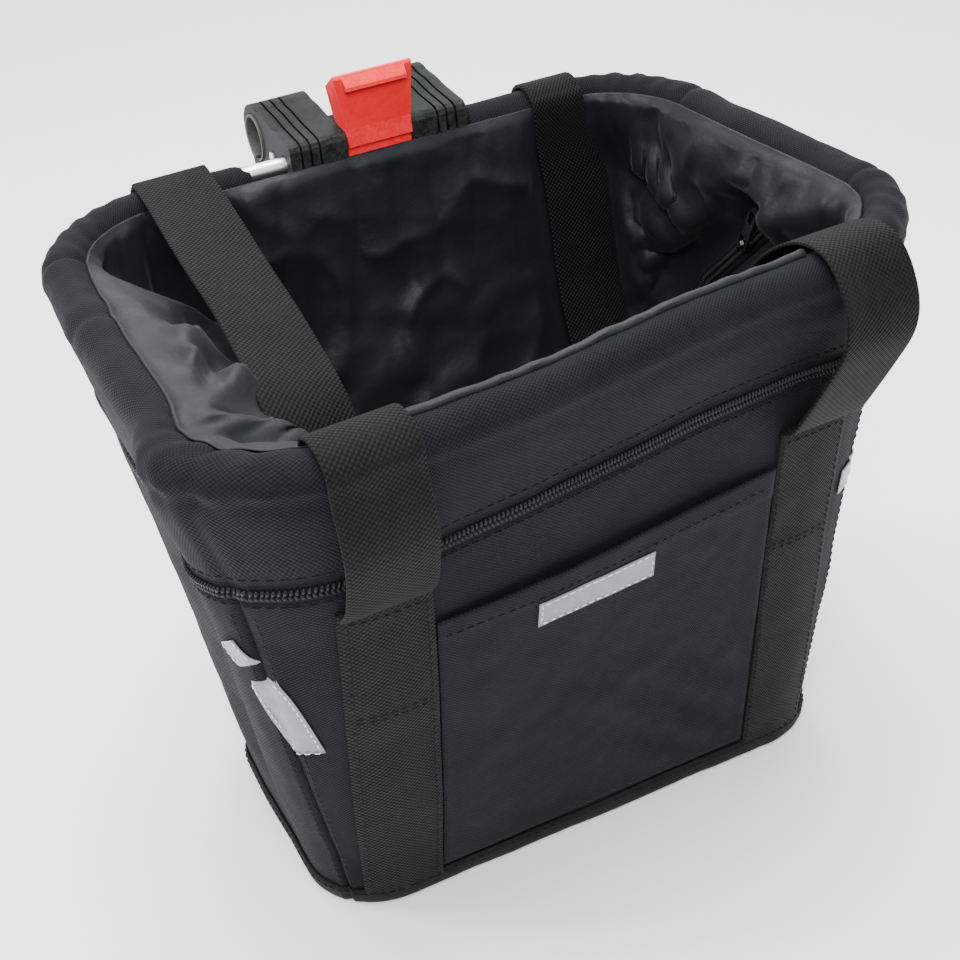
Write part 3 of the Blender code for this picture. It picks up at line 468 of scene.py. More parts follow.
def around(u, centre):
    """Signed distance in u on the closed outline."""
    return (u - centre + 4) % 8 - 4


def wall_relief(u, z):
    """How far the outer cloth stands off its plain wall: soft waves, gusset folds and sunk seams."""
    p = wall_point(u, z)
    value = 0.0011 * rough(p, 0.075, 3, 3.0) + 0.0004 * rough(p, 0.022, 2, 7.0)
    for centre in (6.5, 2.5):
        d = around(u, centre)
        side = math.exp(-(d / 0.62) ** 4) * step(0.01, 0.07, z) * (1 - 0.7 * step(0.20, 0.235, z))
        wave = math.cos(2 * math.pi * (d * 1.45 + 0.22 * math.sin(14 * z + centre)))
        value += side * (0.0026 * wave - 0.0012 + 0.0010 * rough(p, 0.035, 3, 11.0))
    for seam in (1.5, 3.5, 5.5, 7.5):
        d = around(u, seam) * 0.085
        groove = 0.0013 * math.exp(-(d / 0.0016) ** 2)
        ridge = 0.0006 * math.exp(-((abs(d) - 0.0042) / 0.0022) ** 2)
        value -= groove - ridge
    return value


def on_wall(u, z, lift=0.0):
    return wall_point(u, z, wall_relief(u, z) + lift)


def wall_frame(u, z, lift=0.0):
    """Point on the relief with its outward normal."""
    here = on_wall(u, z, lift)
    along = on_wall(u + 0.01, z, lift) - on_wall(u - 0.01, z, lift)
    up = on_wall(u, z + 0.002, lift) - on_wall(u, z - 0.002, lift)
    return here, along.cross(up).normalized()


def u_steps(start, end, spacing):
    """u values with nearly even spacing along the wall at mid height."""
    fine = [lerp(start, end, k / 400) for k in range(401)]
    run = lengths([wall_point(u, 0.2) for u in fine])
    count = max(2, int(run[-1] / spacing))
    out, j = [], 0
    for k in range(count + 1):
        want = run[-1] * k / count
        while j < 399 and run[j + 1] < want:
            j += 1
        out.append(lerp(fine[j], fine[j + 1], (want - run[j]) / max(1e-9, run[j + 1] - run[j])))
    return out


def zip_line(u):
    """Height of the outer zipper: it rides up along the front and dips at the front left corner."""
    rise = 0.0135 * math.exp(-(around(u, 0.90) / 1.0) ** 2)
    return ZIP_Z + rise - 0.0035 * math.exp(-(around(u, 7.55) / 0.45) ** 2)


def wall_cloth(name, start, end, z_low, z_high, nodes, lift=0.0, tuck=0.0):
    us = u_steps(start, end, CLOTH_GRID)
    count = max(2, int((z_high - z_low) / CLOTH_GRID))
    rows = []
    for k in range(count + 1):
        share = k / count
        edge = min(share, 1 - share) * (z_high - z_low)
        sunk = tuck * math.exp(-(edge / 0.003) ** 2)
        rows.append([on_wall(u, lerp(z_low, z_high + zip_line(u) - ZIP_Z, share), lift - sunk) for u in us])
    obj = sheet_mesh(name, rows, "fabric", 0.0015)
    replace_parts(obj, *nodes)
    cut_panel((start, end), (z_low, z_high))
    return obj


# ---------------------------------------------------------------- stitches
def stitch_mesh(name, runs, mat, length=0.0030, gap=0.0016):
    """Dashes of thread along each run of (point, normal) pairs, merged into one piece."""
    verts, faces = [], []
    sides = 5
    for run in runs:
        points = [p for p, n in run]
        reach = lengths(points)
        at, j = gap / 2, 0
        while at + length < reach[-1]:
            ring_base = len(verts)
            for share, rise, fat in ((0.0, -0.6, 0.55), (0.2, 0.35, 1.0), (0.8, 0.35, 1.0),
                                     (1.0, -0.6, 0.55)):
                want = at + share * length
                while j < len(reach) - 2 and reach[j + 1] < want:
                    j += 1
                while j > 0 and reach[j] > want:
                    j -= 1
                f = (want - reach[j]) / max(1e-9, reach[j + 1] - reach[j])
                centre = points[j].lerp(points[j + 1], f)
                normal = run[j][1]
                tangent = (points[j + 1] - points[j]).normalized()
                side = tangent.cross(normal).normalized()
                centre = centre + normal * (THREAD_R * rise)
                for k in range(sides):
                    a = 2 * math.pi * k / sides
                    verts.append(centre + (side * math.cos(a) + normal * math.sin(a)) * THREAD_R * fat)
            for r in range(3):
                for k in range(sides):
                    n = (k + 1) % sides
                    a, b = ring_base + r * sides, ring_base + (r + 1) * sides
                    faces.append((a + k, a + n, b + n, b + k))
            faces.append(tuple(ring_base + k for k in reversed(range(sides))))
            faces.append(tuple(ring_base + 3 * sides + k for k in range(sides)))
            at += length + gap
    return finish_piece(name, verts, faces, None, mat, 180)


def wall_run(start, end, z_start, z_end, lift):
    steps = max(8, int(abs(end - start) * 60) + int(abs(z_end - z_start) / 0.003))
    return [wall_frame(lerp(start, end, k / steps), lerp(z_start, z_end, k / steps), lift)
            for k in range(steps + 1)]


# ---------------------------------------------------------------- outer cloth
def build_outer():
    low, top = 0.0026, ZIP_Z - ZIP_HALF + 0.0006
    for name, start, end in (("front_cloth", 7.5, 9.5), ("right_cloth", 1.5, 3.5),
                             ("left_cloth", 5.5, 7.5)):
        wall_cloth(name, start, end, low, top, [name.replace("cloth", "panel")], tuck=0.0006)
    wall_cloth("back_cloth", 3.5, 5.5, low, ZIP_Z + ZIP_HALF, ["back_panel"], tuck=0.0006)
    for side, start, end in (("left", 5.49, 5.76), ("right", 3.24, 3.51)):
        under, over = ZIP_Z - ZIP_HALF - 0.0006, ZIP_Z + ZIP_HALF + 0.0012
        wall_cloth(f"zip_end_cloth_{side}", start, end, under, over, [f"zip_end_tab_{side}"], lift=-0.0006)
    rows = [[wall_point(u, z, -0.0028) for u in u_steps(0.02, 0.98, 0.008)]
            for z in (0.012, 0.05, 0.09, 0.13, 0.17, 0.205)]
    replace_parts(sheet_mesh("front_board_settled", rows, "board", 0.0018), "front_board")
    runs = []
    for seam in (1.5, 3.5, 5.5, 7.5):
        for side in (-0.045, 0.045):
            runs.append(wall_run(seam + side, seam + side, 0.014, 0.222, -0.00015))
    stitch_mesh("seam_stitches", runs, "thread")


PROFILE_ANGLES = (-32, 0, 32, 64, 96, 124, 148, 170, 200, 230)


def roll_frame(u):
    point, normal = outline(u, RIM_X, RIM_Y, RIM_R_FRONT, RIM_R_BACK)
    return Vector((*point, RIM_Z)), Vector((*normal, 0.0))


def roll_radius(u, angle, place):
    """Padded roll: lumps of foam, puckers beside the cross seams and the seams themselves."""
    value = ROLL_R + 0.0007 * rough(place, 0.045, 3, 1.0) + 0.00035 * rough(place, 0.014, 2, 5.0)
    for seam in ROLL_SEAMS:
        d = around(u, seam) * 0.10
        value -= 0.0011 * math.exp(-(d / 0.0014) ** 2)
        value += 0.0007 * math.exp(-((abs(d) - 0.007) / 0.005) ** 2)
    for corner, width in ((1.5, 0.42), (3.5, 0.42), (5.5, 0.42), (7.5, 0.42)):
        near = math.exp(-(around(u, corner) / width) ** 2)
        value += near * 0.0005 * math.sin(46 * u + 2.2 * math.sin(math.radians(angle) * 2))
    return value


ROLL_SEAMS = (1.95, 3.05, 3.52, 5.9, 6.42, 7.52)


def roll_point(u, angle, extra=0.0):
    centre, normal = roll_frame(u)
    a = math.radians(angle)
    place = centre + normal * (ROLL_R * math.cos(a)) + Vector((0, 0, ROLL_R * math.sin(a)))
    radius = roll_radius(u, angle, place) + extra
    return centre + normal * (radius * math.cos(a)) + Vector((0, 0, radius * math.sin(a)))


def sleeve_ends():
    straight = 2 * (RIM_X - RIM_R_BACK)
    from_right = RIM_X - RIM_R_BACK
    left = 4 + (from_right - SLEEVE_LEFT) / straight
    right = 4 + (from_right - SLEEVE_RIGHT) / straight + 8
    return left, right


def build_cover():
    """Band above the zipper that turns over the padded rim and down to the lining seam."""
    left, right = sleeve_ends()
    us = u_steps(left, right, 0.0026)
    columns = []
    for u in us:
        near_end = min(step(0.0, 0.030, u - left), step(0.0, 0.012, right - u))
        low = zip_line(u) + ZIP_HALF - 0.0006
        control = [on_wall(u, low, -0.0005), on_wall(u, low + 0.005, 0.0004),
                   on_wall(u, lerp(low, 0.281, 0.36), 0.0012), on_wall(u, lerp(low, 0.281, 0.70), 0.0026),
                   on_wall(u, 0.2830, 0.0040)]
        control += [roll_point(u, a, -0.002 * (1 - near_end)) for a in PROFILE_ANGLES]
        columns.append(smooth_path(control, 4))
    rows = [list(row) for row in zip(*columns)]
    obj = sheet_mesh("rim_cover", rows, "fabric", 0.0014)
    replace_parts(obj, "rim_sleeve", "upper_band")
    us = u_steps(right - 8, left, 0.003)
    rows = []
    for z in (0.2360, 0.2420, 0.2500, 0.2580, 0.2660, 0.2740, 0.2800, 0.2835, 0.2850):
        rows.append([on_wall(u, z, 0.0002 + 0.0008 * step(0.280, 0.285, z)) for u in us])
    sheet_mesh("window_band", rows, "fabric", 0.0014)


def build_rim_tube():
    """The rim tube and its joint, following the settled rim inside the padded roll."""
    for name, nodes, start, end, radius, mat in (
            ("rim_tube_settled", ("rim_tube",), 0.51, 8.49, TUBE_R, "aluminium"),
            ("rim_tube_dowel", ("rim_tube_joiner",), 0.38, 0.62, 0.0030, "steel")):
        rings = []
        for u in u_steps(start, end, 0.006):
            centre, normal = roll_frame(u)
            past_bracket = abs(centre.x - 0.5 * (SLEEVE_RIGHT + SLEEVE_LEFT))
            hidden = step(SLEEVE_RIGHT + 0.004, SLEEVE_RIGHT + 0.05, past_bracket) if centre.y > 0 else 1.0
            centre = centre + Vector((0, 0, lerp(TUBE_UP, 0.0022, hidden)))
            rings.append([centre + normal * (radius * math.cos(a)) + Vector((0, 0, radius * math.sin(a)))
                          for a in (2 * math.pi * k / 16 for k in range(16))])
        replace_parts(tube_mesh(name, rings, mat), *nodes)


# ---------------------------------------------------------------- lining
def lining_seam(u):
    """Angle on the roll where the lining starts: nearer the top along the front."""
    front = step(0.36, 0.60, abs(around(u, 0.5)))
    left = math.exp(-(around(u, 7.0) / 0.9) ** 4)
    return lerp(118, 152, front) - 22 * left * front


def lining_puff(u, z, base):
    """Inward stand-off of the loose lining: a big billow front left, a smaller one on the right."""
    value = 0.0030 * (1 - abs(rough(base, 0.060, 3, 2.0))) ** 2 * step(0.010, 0.060, z)
    value *= 1 - behind_strap(base)
    left = math.exp(-(around(u, 6.95) / 1.02) ** 4)
    value += 0.060 * left * step(0.310, 0.266, z) * step(0.150, 0.245, z)
    right = math.exp(-(around(u, 2.55) / 0.80) ** 4)
    value += 0.013 * right * step(0.306, 0.272, z) * step(0.170, 0.250, z)
    return value * step(0.008, 0.030, slider_gap(base))


def slider_gap(place):
    """Distance from the straight stretch of the inner zipper up the right wall."""
    off = abs((place.y - INNER_ZIP_Y) * 0.714 + (place.z - INNER_ZIP_Z) * 0.70)
    run = (place.y - INNER_ZIP_Y) * 0.70 - (place.z - INNER_ZIP_Z) * 0.714
    beyond = max(0.0, -run - 0.036, run - 0.070)
    return off + beyond + max(0.0, 0.130 - place.x)


def lining_point(u, w):
    """w 0 at the seam on the roll, 1 at the roll's inner side, 2 at the floor."""
    seam = lining_seam(u)
    if w <= 1.0:
        angle = lerp(seam, 186, w)
        base = roll_point(u, angle, 0.0012)
        z = base.z
    else:
        z = lerp(RIM_Z - 0.002, FLOOR_Z, w - 1)
        roll = roll_point(u, 186, 0.0012)
        wall = wall_point(u, z, -LINING_IN)
        t = step(0.0, 0.055, RIM_Z - z)
        base = Vector((lerp(roll.x, wall.x, t), lerp(roll.y, wall.y, t), z))
    away = Vector((*outline(u, *wall_sizes(min(z, RIM_Z)))[1], 0.0))
    grow = step(0.0, 0.7, w)
    sag = 1 - step(0.0, 0.018, FLOOR_Z + 0.018 - z)
    return base - away * (lining_puff(u, z, base) * grow * sag)


FOLD_REACH = 2.6                       # half widths at which a fold has died out
FOLD_DEEP, FOLD_NEAR = 0.024, 0.008    # a fold fades between these distances off the cloth
# Folds of the lining: start, end, height (a groove is negative) and half width, in metres.
LINING_FOLDS = (
    ((-0.174, -0.081, 0.296), (-0.158, -0.030, 0.285), 0.0058, 0.0079),
    ((-0.158, -0.030, 0.285), (-0.146, 0.006, 0.278), 0.0047, 0.0073),
    ((-0.174, -0.081, 0.296), (-0.144, -0.045, 0.279), 0.0058, 0.0073),
    ((-0.144, -0.045, 0.279), (-0.126, -0.018, 0.268), 0.0047, 0.0073),
    ((-0.168, -0.070, 0.291), (-0.148, -0.026, 0.279), -0.0047, 0.0098),
    ((-0.178, -0.043, 0.295), (-0.149, 0.004, 0.282), 0.0047, 0.0085),
    ((-0.150, 0.006, 0.282), (-0.138, 0.028, 0.273), -0.0073, 0.0061),
    ((-0.136, 0.030, 0.273), (-0.128, -0.025, 0.270), -0.0063, 0.0055),
    ((-0.174, -0.084, 0.296), (-0.134, -0.084, 0.276), 0.0052, 0.0085),
    ((-0.152, -0.100, 0.294), (-0.132, -0.104, 0.290), -0.0058, 0.0073),
    ((-0.170, 0.118, 0.297), (-0.148, 0.080, 0.282), -0.0058, 0.0061),
    ((-0.166, 0.060, 0.295), (-0.138, 0.040, 0.275), 0.0042, 0.0098),
    ((0.153, 0.110, 0.296), (0.150, 0.098, 0.270), 0.0036, 0.0090),
    ((0.150, 0.098, 0.270), (0.146, 0.060, 0.246), 0.0042, 0.0100),
    ((0.153, 0.092, 0.290), (0.150, 0.076, 0.266), -0.0032, 0.0110),
    ((0.146, 0.002, 0.262), (0.150, -0.050, 0.292), 0.0044, 0.0085),
    ((0.146, -0.010, 0.250), (0.150, -0.060, 0.276), -0.0045, 0.0134),
    ((0.156, -0.002, 0.304), (0.151, 0.014, 0.268), -0.0030, 0.0016),
)


def fold_height(p, normal):
    """Sum of the folds at a place of the cloth, measured along its surface."""
    total = 0.0
    for start, end, height, width in LINING_FOLDS:
        a, span = Vector(start), Vector(end) - Vector(start)
        along = (p - a).dot(span) / span.length_squared
        gap = p - a - span * min(1.0, max(0.0, along))
        depth = gap.dot(normal)
        gap = (gap - normal * depth).length / width
        if gap < FOLD_REACH:
            total += height * math.exp(-gap * gap) * step(FOLD_DEEP, FOLD_NEAR, abs(depth))
    return total


def drape(obj, pinned, grow, frames):
    """Let the cloth hang from its pinned points with some spare width, and keep where it settles."""
    scene = bpy.context.scene
    group = obj.vertex_groups.new(name="pinned")
    for weight, index in pinned:
        group.add(index, weight, "REPLACE")
    mod = obj.modifiers.new("drape", "CLOTH")
    cloth = mod.settings
    cloth.quality, cloth.mass, cloth.air_damping = 5, 0.08, 2.0
    cloth.tension_stiffness, cloth.compression_stiffness = 12.0, 12.0
    cloth.shear_stiffness, cloth.bending_stiffness = 4.0, 0.03
    cloth.shrink_min = -grow
    cloth.vertex_group_mass = "pinned"
    mod.collision_settings.use_collision = False
    mod.point_cache.frame_start, mod.point_cache.frame_end = 1, frames
    for frame_number in range(1, frames + 1):
        scene.frame_set(frame_number)
    settled = obj.evaluated_get(bpy.context.evaluated_depsgraph_get()).to_mesh()
    result = [v.co.copy() for v in settled.vertices]
    obj.modifiers.remove(mod)
    scene.frame_set(1)
    return result


def behind_strap(place):
    """1 where a handle's end hangs in front of the back lining, 0 elsewhere."""
    off = abs(abs(place.x) - STRAP_X)
    return step(0.060, 0.085, place.y) * step(0.032, 0.022, off)


def crease(place):
    """Sharp small creases, ridged noise bent by a broader one."""
    bend = Vector((rough(place, 0.070, 2, 41.0), rough(place, 0.070, 2, 43.0), 0.0)) * 0.012
    big = (1 - min(1.0, abs(rough(place + bend, 0.075, 2, 45.0)) * 1.3)) ** 3
    small = (1 - min(1.0, abs(rough(place + bend, 0.034, 1, 47.0)) * 1.3)) ** 3
    return 0.0042 * big + 0.0008 * small


def build_lining():
    us = u_steps(0.0, 8.0, 0.0042)[:-1]
    levels = [k / 5 for k in range(5)] + [1 + k / 66 for k in range(67)]
    rows = [[lining_point(u, w) for u in reversed(us)] for w in reversed(levels)]
    obj = sheet_mesh("lining_cloth", rows, "lining", 0.0, wrap=True)
    verts = obj.data.vertices
    start = [v.co.copy() for v in verts]
    normals = [v.normal.copy() for v in verts]
    held = {}
    for i, place in enumerate(start):
        row = i // len(us)
        ends = max(step(3.0, 0.0, row), step(len(levels) - 6.0, len(levels) - 4.0, row))
        by_zip = step(0.028, 0.012, slider_gap(place))
        weight = round(max(ends, by_zip, 0.04), 2)
        held.setdefault(weight, []).append(i)
    after = drape(obj, sorted(held.items()), LINING_EASE, 26)
    for i, (vert, place) in enumerate(zip(verts, after)):
        move = place - start[i]
        outward = -normals[i].dot(move)
        if outward > 0.0004:
            move += normals[i] * (outward - 0.0004)
        most = lerp(0.014, 0.0010, behind_strap(start[i]))
        if move.length > most:
            move *= most / move.length
        vert.co = start[i] + move
    mod = obj.modifiers.new("finer", "SUBSURF")
    mod.levels = mod.render_levels = 1
    finer = bpy.data.meshes.new_from_object(obj.evaluated_get(bpy.context.evaluated_depsgraph_get()))
    obj.modifiers.clear()
    obj.data = finer
    normals = [v.normal.copy() for v in finer.vertices]
    for vert, normal in zip(finer.vertices, normals):
        free = step(0.006, 0.020, slider_gap(vert.co)) * step(FLOOR_Z, FLOOR_Z + 0.03, vert.co.z)
        free *= step(0.306, 0.294, vert.co.z) * (1 - behind_strap(vert.co))
        vert.co += normal * (free * (fold_height(vert.co, normal) + crease(vert.co)))
    mod = obj.modifiers.new("thickness", "SOLIDIFY")
    mod.thickness, mod.offset = 0.0007, -1.0
    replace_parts(obj, "lining")
    cut_panel((0.0, 8.0), (FLOOR_Z, RIM_Z), LINING_IN,
              LINING_EASE)
    build_lining_floor()


def build_lining_floor():
    us = u_steps(0.0, 8.0, 0.004)[:-1]
    rings = []
    for share in [k / 24 for k in range(1, 25)]:
        ring = []
        for u in us:
            edge = wall_point(u, FLOOR_Z, -LINING_IN)
            p = Vector((edge.x * share, edge.y * share, FLOOR_Z + 0.0006))
            p.z += 0.0005 * abs(rough(p, 0.03, 2, 4.0)) * (1 - step(0.9, 1.0, share))
            ring.append(p)
        rings.append(ring)
    obj = sheet_mesh("lining_floor", rings[::-1], "lining", 0.0007, wrap=True)


def build_lining_edge():
    """Folded edge of the lining, showing as a grey band along the front between the handles."""
    rows = []
    us = u_steps(0.03, 0.97, 0.003)
    for angle, lift in ((100, 0.0002), (104, 0.0018), (110, 0.0026), (120, 0.0028), (130, 0.0024),
                        (136, 0.0012), (139, 0.0000)):
        row = []
        for u in us:
            pucker = 0.00025 * math.sin(60 * u + 2 * math.sin(23 * u)) + 0.0003 * rough((u, 0, 0), 0.09)
            wander = 2.5 * rough((u, 0, 1), 0.30)
            row.append(roll_point(u, angle + wander, lift + pucker * (lift > 0.001)))
        rows.append(row)
    obj = sheet_mesh("lining_edge", rows, "lining", 0.0008)
    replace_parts(obj, "rim_lining_edge")


def inner_zip_frame(u, z, lift=0.0):
    """On the lining's face inside the wall, with the normal into the basket."""
    def place(a, b):
        billow = lining_puff(a, b, wall_point(a, b, -LINING_IN)) * step(10.3, 9.8, a)
        return wall_point(a, b, -(INNER_ZIP_IN + billow + lift))
    along = place(u + 0.01, z) - place(u - 0.01, z)
    up = place(u, z + 0.002) - place(u, z - 0.002)
    return place(u, z), up.cross(along).normalized()


def build_inner_zipper():
    """Coil zipper on the lining: up the right wall, then round under the rim to the left."""
    route = []
    for reach in (0.070, 0.035, 0.0, -0.019, -0.036):
        y, z = INNER_ZIP_Y + 0.70 * reach, INNER_ZIP_Z - 0.714 * reach
        _, half_y, r_front, r_back = wall_sizes(z)
        span = (half_y - r_back) - (r_front - half_y)
        route.append((10.0 + (y - (r_front - half_y)) / span, z))
    route += [(10.20, 0.2705), (9.93, 0.2715), (9.5, 0.2705), (9.0, 0.270), (8.5, 0.270), (8.0, 0.272),
              (7.6, 0.275), (7.25, 0.2785)]
    path = smooth_path([Vector((u, z, 0)) for u, z in route], 14)
    track = track_on(lambda u, z: inner_zip_frame(u, z, 0.0004), [(p.x, p.y) for p in path])
    rows = []
    for share in (-1.0, -0.6, -0.2, 0.2, 0.6, 1.0):
        rows.append([point + across * (0.0060 * share) for point, _, across, _ in track])
    obj = sheet_mesh("inner_zip_tape", rows, "tape", 0.0007)
    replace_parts(obj, "inner_zipper")
    coil_mesh("inner_zip_coil", track)


# ---------------------------------------------------------------- webbing
def ribbon(name, frames, width, thick, mat):
    """Flat webbing from (centre, across, out) frames, with rounded edges."""
    half, t, cells = width / 2, thick / 2, 12
    profile = [(lerp(-half + t, half - t, k / cells), t) for k in range(cells + 1)]
    profile += [(half - t * 0.3, t * 0.7), (half, 0.0), (half - t * 0.3, -t * 0.7)]
    profile += [(lerp(half - t, -half + t, k / cells), -t) for k in range(cells + 1)]
    profile += [(-half + t * 0.3, -t * 0.7), (-half, 0.0), (-half + t * 0.3, t * 0.7)]
    count = len(profile)
    along = lengths([f[0] for f in frames])
    verts, faces, coords = [], [], []
    for centre, across, out in frames:
        verts += [centre + across * px + out * pz for px, pz in profile]
    for i in range(len(frames) - 1):
        for j in range(count):
            k = (j + 1) % count
            faces.append((i * count + j, (i + 1) * count + j, (i + 1) * count + k, i * count + k))
            coords += [(profile[j][0], along[i]), (profile[j][0], along[i + 1]),
                       (profile[k][0], along[i + 1]), (profile[k][0], along[i])]
    last = (len(frames) - 1) * count
    faces += [tuple(range(count)), tuple(last + j for j in reversed(range(count)))]
    coords += [(0, 0)] * (2 * count)
    return finish_piece(name, verts, faces, coords, mat)


def wall_strap(name, x_mid, side, z_low, z_high, node):
    steps = int((z_high - z_low) / 0.004)
    xs = 13
    rows = []
    for k in range(steps + 1):
        z = lerp(z_low, z_high, k / steps)
        row = []
        for j in range(xs):
            x = x_mid + STRAP_W * (j / (xs - 1) - 0.5)
            u = u_at(x, z, side)
            row.append(on_wall(u, z, 0.0003 + STRAP_T))
        rows.append(row)
    if side > 0:
        rows = [list(reversed(r)) for r in rows]
    obj = sheet_mesh(name, rows, "webbing", STRAP_T - 0.0002)
    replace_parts(obj, node)
    return obj


def over_rim(side, inner_slack=0.0):
    points = []
    for angle in (-25, 25, 60, 95, 130, 165):
        a = math.radians(angle)
        lift = ROLL_R + STRAP_T / 2 + 0.0014 + inner_slack * max(0.0, -math.cos(a))
        points.append((side * (RIM_Y + lift * math.cos(a)), RIM_Z + lift * math.sin(a), 0))
    return points


def wall_y(x, z, side):
    return wall_point(u_at(x, z, side), z).y


def handle_frames(x_mid, route, sway=0.0):
    path = smooth_path([Vector(p) for p in route], 12)
    frames = []
    for i, point in enumerate(path):
        before, after = path[max(i - 1, 0)], path[min(i + 1, len(path) - 1)]
        tangent = Vector((0, after.x - before.x, after.y - before.y)).normalized()
        across = Matrix.Rotation(math.radians(point.z), 3, tangent) @ Vector((1, 0, 0))
        out = across.cross(tangent).normalized()
        lean = sway * step(0.225, 0.290, point.y)
        lean *= 1.2 * step(-0.050, -0.120, point.x) - 0.2 * step(0.060, -0.020, point.x)
        frames.append((Vector((x_mid + lean, point.x, point.y)), across, out))
    return frames


def build_handles():
    gap = 0.0004
    back_sew = wall_y(STRAP_X, STITCH_Z, 1)
    clear = 2 * gap + STRAP_T / 2
    low = STITCH_Z + 0.0015
    back_end = [(back_sew + clear, low, 0), (back_sew + clear + 0.004, low + 0.018, 0),
                (RIM_Y + 0.0132, RIM_Z - 0.030, 0)]
    front_y = wall_y(0.0, STITCH_Z, -1) - clear
    left_front = [(front_y, low, 0), (front_y - 0.0100, low + 0.013, 0),
                  (-RIM_Y - 0.0135, RIM_Z - 0.035, 0)]
    left_inside = [(-0.1060, 0.268, 0), (-0.0990, 0.246, 2), (-0.0860, 0.236, 5), (-0.0730, 0.249, 9),
                   (-0.0660, 0.268, 13), (-0.0480, 0.2835, 16), (-0.0100, 0.2905, 17),
                   (0.0400, 0.2985, 14), (0.0800, 0.3045, 7)]
    route = left_front + over_rim(-1, 0.0045) + left_inside + list(reversed(over_rim(1)[:4]))
    route += list(reversed(back_end))
    left = ribbon("handle_web_left", handle_frames(-STRAP_X, route), STRAP_W, STRAP_T, "webbing")
    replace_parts(left, "handle_left")
    right_front = [(front_y, low, 0), (front_y - 0.0110, low + 0.009, 0),
                   (-0.1460, 0.258, 0), (-0.1530, 0.278, 0), (-0.1490, 0.2980, 0), (-0.1360, 0.3110, 0),
                   (-0.1180, 0.3110, 0), (-0.0990, 0.3010, 0), (-0.0840, 0.2840, 0), (-0.0710, 0.258, 0),
                   (-0.0540, 0.220, 0), (-0.0300, 0.175, 0), (0.0080, 0.145, 0), (0.0500, 0.140, 0),
                   (0.0820, 0.159, 0),
                   (0.1000, 0.195, 0), (0.1080, 0.240, 0), (0.1135, 0.275, 0)]
    route = right_front + list(reversed(over_rim(1))) + list(reversed(back_end))
    right = ribbon("handle_web_right", handle_frames(STRAP_X, route, 0.013), STRAP_W, STRAP_T, "webbing")
    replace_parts(right, "handle_right")
    runs = []
    for side, word in ((-1, "front"), (1, "back")):
        for x_mid, hand in ((-STRAP_X, "left"), (STRAP_X, "right")):
            wall_strap(f"strap_{word}_{hand}", x_mid, side, 0.0085, STITCH_Z + 0.003,
                       f"{word}_strap_{hand}")
            for dx in (-0.0165, 0.0165):
                run = []
                for k in range(60):
                    z = lerp(0.014, STITCH_Z, k / 59)
                    run.append(wall_frame(u_at(x_mid + dx, z, side), z, STRAP_T + 0.0004))
                runs.append(run)
            for z in (0.150, 0.153, STITCH_Z - 0.004):
                xs = [x_mid + 0.033 * (k / 10 - 0.5) for k in range(11)]
                runs.append([wall_frame(u_at(x, z, side), z, STRAP_T + 0.0004) for x in xs])
    stitch_mesh("strap_stitches", runs, "thread")


# ---------------------------------------------------------------- pocket and reflectors
def pocket_stand_off(x, z):
    across = max(0.0, 1 - (x / POCKET_HALF) ** 2)
    up = (z - POCKET_LOW) / (POCKET_TOP - POCKET_LOW)
    return 0.0004 + POCKET_BOW * across ** 0.8 * max(0.0, up) ** 1.3


def pocket_point(x, z, lift=0.0):
    base = wall_point(u_at(x, z, -1), z)
    value = 0.0012 * rough(base, 0.055, 3, 21.0) + 0.0004 * rough(base, 0.018, 2, 23.0)
    tension = (x - 0.045) * 0.72 + (z - 0.075) * 0.70
    near = math.exp(-(((x - 0.050) ** 2 + (z - 0.075) ** 2) / 0.045 ** 2))
    value += 0.0020 * near * math.sin(tension * 260)
    value *= step(0.0, 0.02, POCKET_HALF - abs(x)) * step(0.0, 0.02, z - POCKET_LOW)
    value += 0.0006 * step(POCKET_TOP - 0.013, POCKET_TOP - 0.011, z)
    out = pocket_stand_off(x, z) + value + 0.0016 + lift
    return Vector((base.x, base.y - out, z))


def pocket_top(x):
    return POCKET_TOP + 0.0040 * (x / POCKET_HALF + 1) / 2


def pocket_frame(x, z, lift=0.0):
    here = pocket_point(x, z, lift)
    along = pocket_point(x + 0.002, z, lift) - pocket_point(x - 0.002, z, lift)
    up = pocket_point(x, z + 0.002, lift) - pocket_point(x, z - 0.002, lift)
    return here, along.cross(up).normalized()


def strip(name, points, mat, node):
    obj = sheet_mesh(name, points, mat, 0.0006)
    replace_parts(obj, node)
    return obj


def tape_point(path, i, shift):
    """Wall coordinates beside the i-th point of a path of (u, z), shift metres to its upper side."""
    a, b = path[max(i - 1, 0)], path[min(i + 1, len(path) - 1)]
    before, after = (wall_point(path[i].x + side * 0.01, path[i].y) for side in (-1, 1))
    per_u = (after - before).length / 0.02
    along = Vector(((b.x - a.x) * per_u, b.y - a.y)).normalized()
    return path[i].x - along.y * shift / per_u, path[i].y + along.x * shift


def border_run(corner_points, at):
    """Run of frames round a closed border; at(a, b) gives the frame."""
    run, steps = [], 10
    closed = corner_points + [corner_points[0]]
    for (a0, b0), (a1, b1) in zip(closed, closed[1:]):
        run += [at(lerp(a0, a1, k / steps), lerp(b0, b1, k / steps)) for k in range(steps)]
    run.append(at(*corner_points[0]))
    return run


